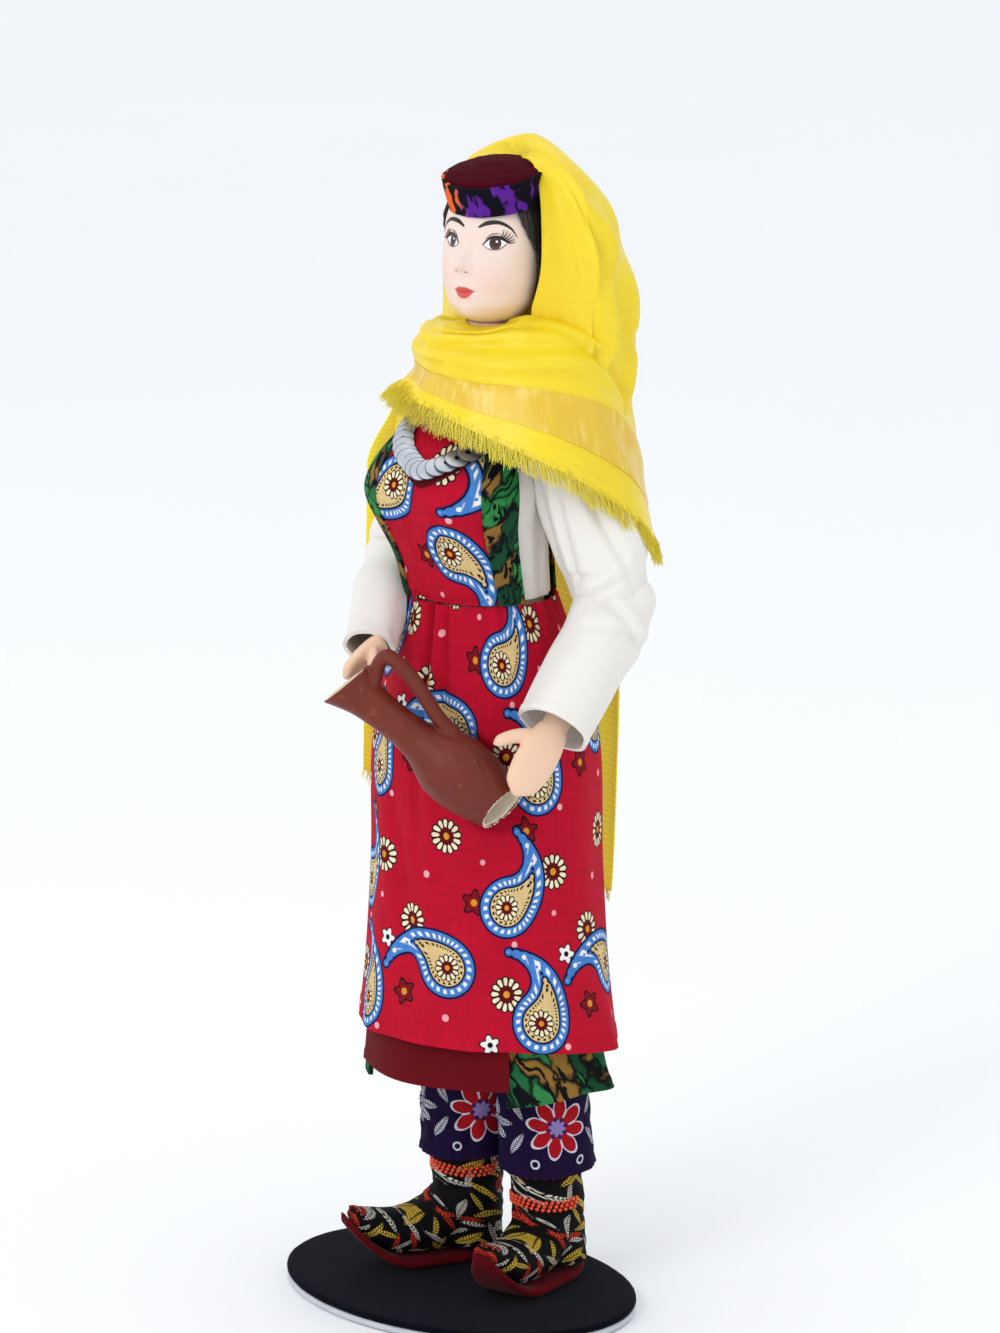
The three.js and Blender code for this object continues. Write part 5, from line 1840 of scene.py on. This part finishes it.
def build_jug():
    mouth, length, axis, upward, across = jug_frame()
    shape = Shape()

    def wall(u, v):
        """Down the outside, across the foot, and back up the inside."""
        outside = v <= 0.5
        along = np.where(outside, v * 2, (1 - v) * 2) * length
        radius = JUG_RADIUS(along)[0] - np.where(outside, 0, lerp(1, JUG_WALL, ease(along, 0, 5)))
        radius = radius + 0.08 * ripple(3 * np.cos(TURN * u), along / 9, 91)
        spoke = spokes(u, across, upward) * radius[..., None]
        slant = MOUTH_SLANT * (spoke @ upward) * (1 - ease(along, 0, 9))
        slant = slant + FOOT_SLANT * (spoke @ across) * ease(along, length - 9, length)
        return mouth + axis * (along + slant)[..., None] + spoke

    u, v = mesh_grid(96, 120, closed=True)
    p = wall(u, v)
    rows, columns = u.shape
    faces = grid_faces(rows, columns, True)
    first, last = np.arange(columns), np.arange(columns) + (rows - 1) * columns
    mouth_rim = np.stack([first, np.roll(first, -1), np.roll(last, -1), last], -1)
    shape.add(p, np.concatenate([faces, mouth_rim]))

    def handle(u, v):
        along, off = JUG_HANDLE(v)
        slope_along, slope_off = np.gradient(along, axis=0), np.gradient(off, axis=0)
        size = np.maximum(np.hypot(slope_along, slope_off), 1e-9)[..., None]
        normal = (upward * slope_along[..., None] - axis * slope_off[..., None]) / size
        middle = mouth + axis * along[..., None] + upward * off[..., None]
        return middle + spokes(u, across * 2.4, normal * 1.7)

    add_skin(shape, handle, (32, 60))
    jug = fused("clay_jug", shape, 0.36, 5, clay(), bare_clay())
    centres = np.empty(len(jug.data.polygons) * 3)
    jug.data.polygons.foreach_get("center", centres)
    offset = centres.reshape(-1, 3) / MM - mouth
    along = offset @ axis
    radius = np.linalg.norm(offset - along[:, None] * axis, axis=1)
    inside = radius < JUG_RADIUS(along)[0] - 0.55 * JUG_WALL
    at_foot = along > length + FOOT_SLANT * ((offset - along[:, None] * axis) @ across) - 0.35
    bare = inside | at_foot
    jug.data.polygons.foreach_set("material_index", bare.astype(np.int32))
    settle(jug, "right_arm", "clay", "jug")


# ---- camera, light and floor ----

CAMERA_AZIMUTH = 50
CAMERA_PITCH = 13.25
CAMERA_AWAY = 1.240
CAMERA_HEIGHT = 0.446
CAMERA_ASIDE = 0.0096
CAMERA_LENS = 146.9
FLOOR_REACH = 9000
LIGHT_TARGET = (0, 0, 0.15)


def build_camera():
    azimuth, pitch = math.radians(CAMERA_AZIMUTH), math.radians(CAMERA_PITCH)
    towards = Vector((math.sin(azimuth), -math.cos(azimuth), 0))
    aside = Vector((math.cos(azimuth), math.sin(azimuth), 0))
    camera = bpy.data.objects.new("camera", bpy.data.cameras.new("camera"))
    camera.data.lens = CAMERA_LENS
    camera.data.clip_start = 0.01
    camera.location = aside * CAMERA_ASIDE + towards * CAMERA_AWAY + Vector((0, 0, CAMERA_HEIGHT))
    forward = -towards * math.cos(pitch) - Vector((0, 0, math.sin(pitch)))
    camera.rotation_euler = forward.to_track_quat("-Z", "Y").to_euler()
    bpy.context.scene.collection.objects.link(camera)
    bpy.context.scene.camera = camera
    return towards, aside


def soft_light(name, place, size, power):
    data = bpy.data.lights.new(name, "AREA")
    data.size = size
    data.energy = power
    light = bpy.data.objects.new(name, data)
    light.location = place
    light.rotation_euler = (Vector(LIGHT_TARGET) - place).to_track_quat("-Z", "Y").to_euler()
    bpy.context.scene.collection.objects.link(light)


def build_stage(towards, aside):
    """A white floor, an even pale surround and soft light from the front and above."""
    scene = bpy.context.scene
    scene.view_settings.view_transform = "Standard"
    world = bpy.data.worlds.new("surround")
    scene.world = world
    world.use_nodes = True
    sky = world.node_tree.nodes["Background"]
    sky.inputs[0].default_value = (0.955, 0.975, 1, 1)
    sky.inputs[1].default_value = 0.98
    paint = Paint("floor", 0.6)
    floor_white = paint.finish(paint.mix(paint.noise(200), (0.93, 0.945, 0.96, 1), (0.95, 0.96, 0.97, 1)))
    corners = [(x * FLOOR_REACH, y * FLOOR_REACH, 0) for x, y in ((-1, -1), (1, -1), (1, 1), (-1, 1))]
    floor = Shape().add(corners, [[0, 1, 2, 3]])
    piece = floor.piece("floor", floor_white)
    piece.location.z = -0.0002
    up = Vector((0, 0, 1))
    soft_light("key", towards * 0.9 - aside * 0.7 + up * 0.9, 0.5, 4)
    soft_light("fill", towards * 0.8 + aside * 0.9 + up * 0.4, 0.9, 0.3)
    soft_light("top", up * 1.2 - towards * 0.3, 0.8, 0.8)


# ---- the doll ----

def build_doll():
    build_stand()
    build_legs()
    build_torso()
    calico_cloth = calico()
    linen = plain_weave("linen", rgb(240, 236, 230), 0.92, period=0.7, depth=0.12, fade=0.06)
    yellow = silk()
    build_skirt(calico_cloth)
    build_robe()
    build_bodice(calico_cloth)
    build_blouse(linen)
    build_collar()
    build_necklace()
    build_arm_stuffing()
    build_sleeves(linen)
    build_hands()
    build_head()
    build_face_paint()
    build_hair()
    build_cap()
    build_hood(yellow)
    build_wrap(yellow)
    build_tail()
    build_jug()


build_stage(*build_camera())
build_doll()
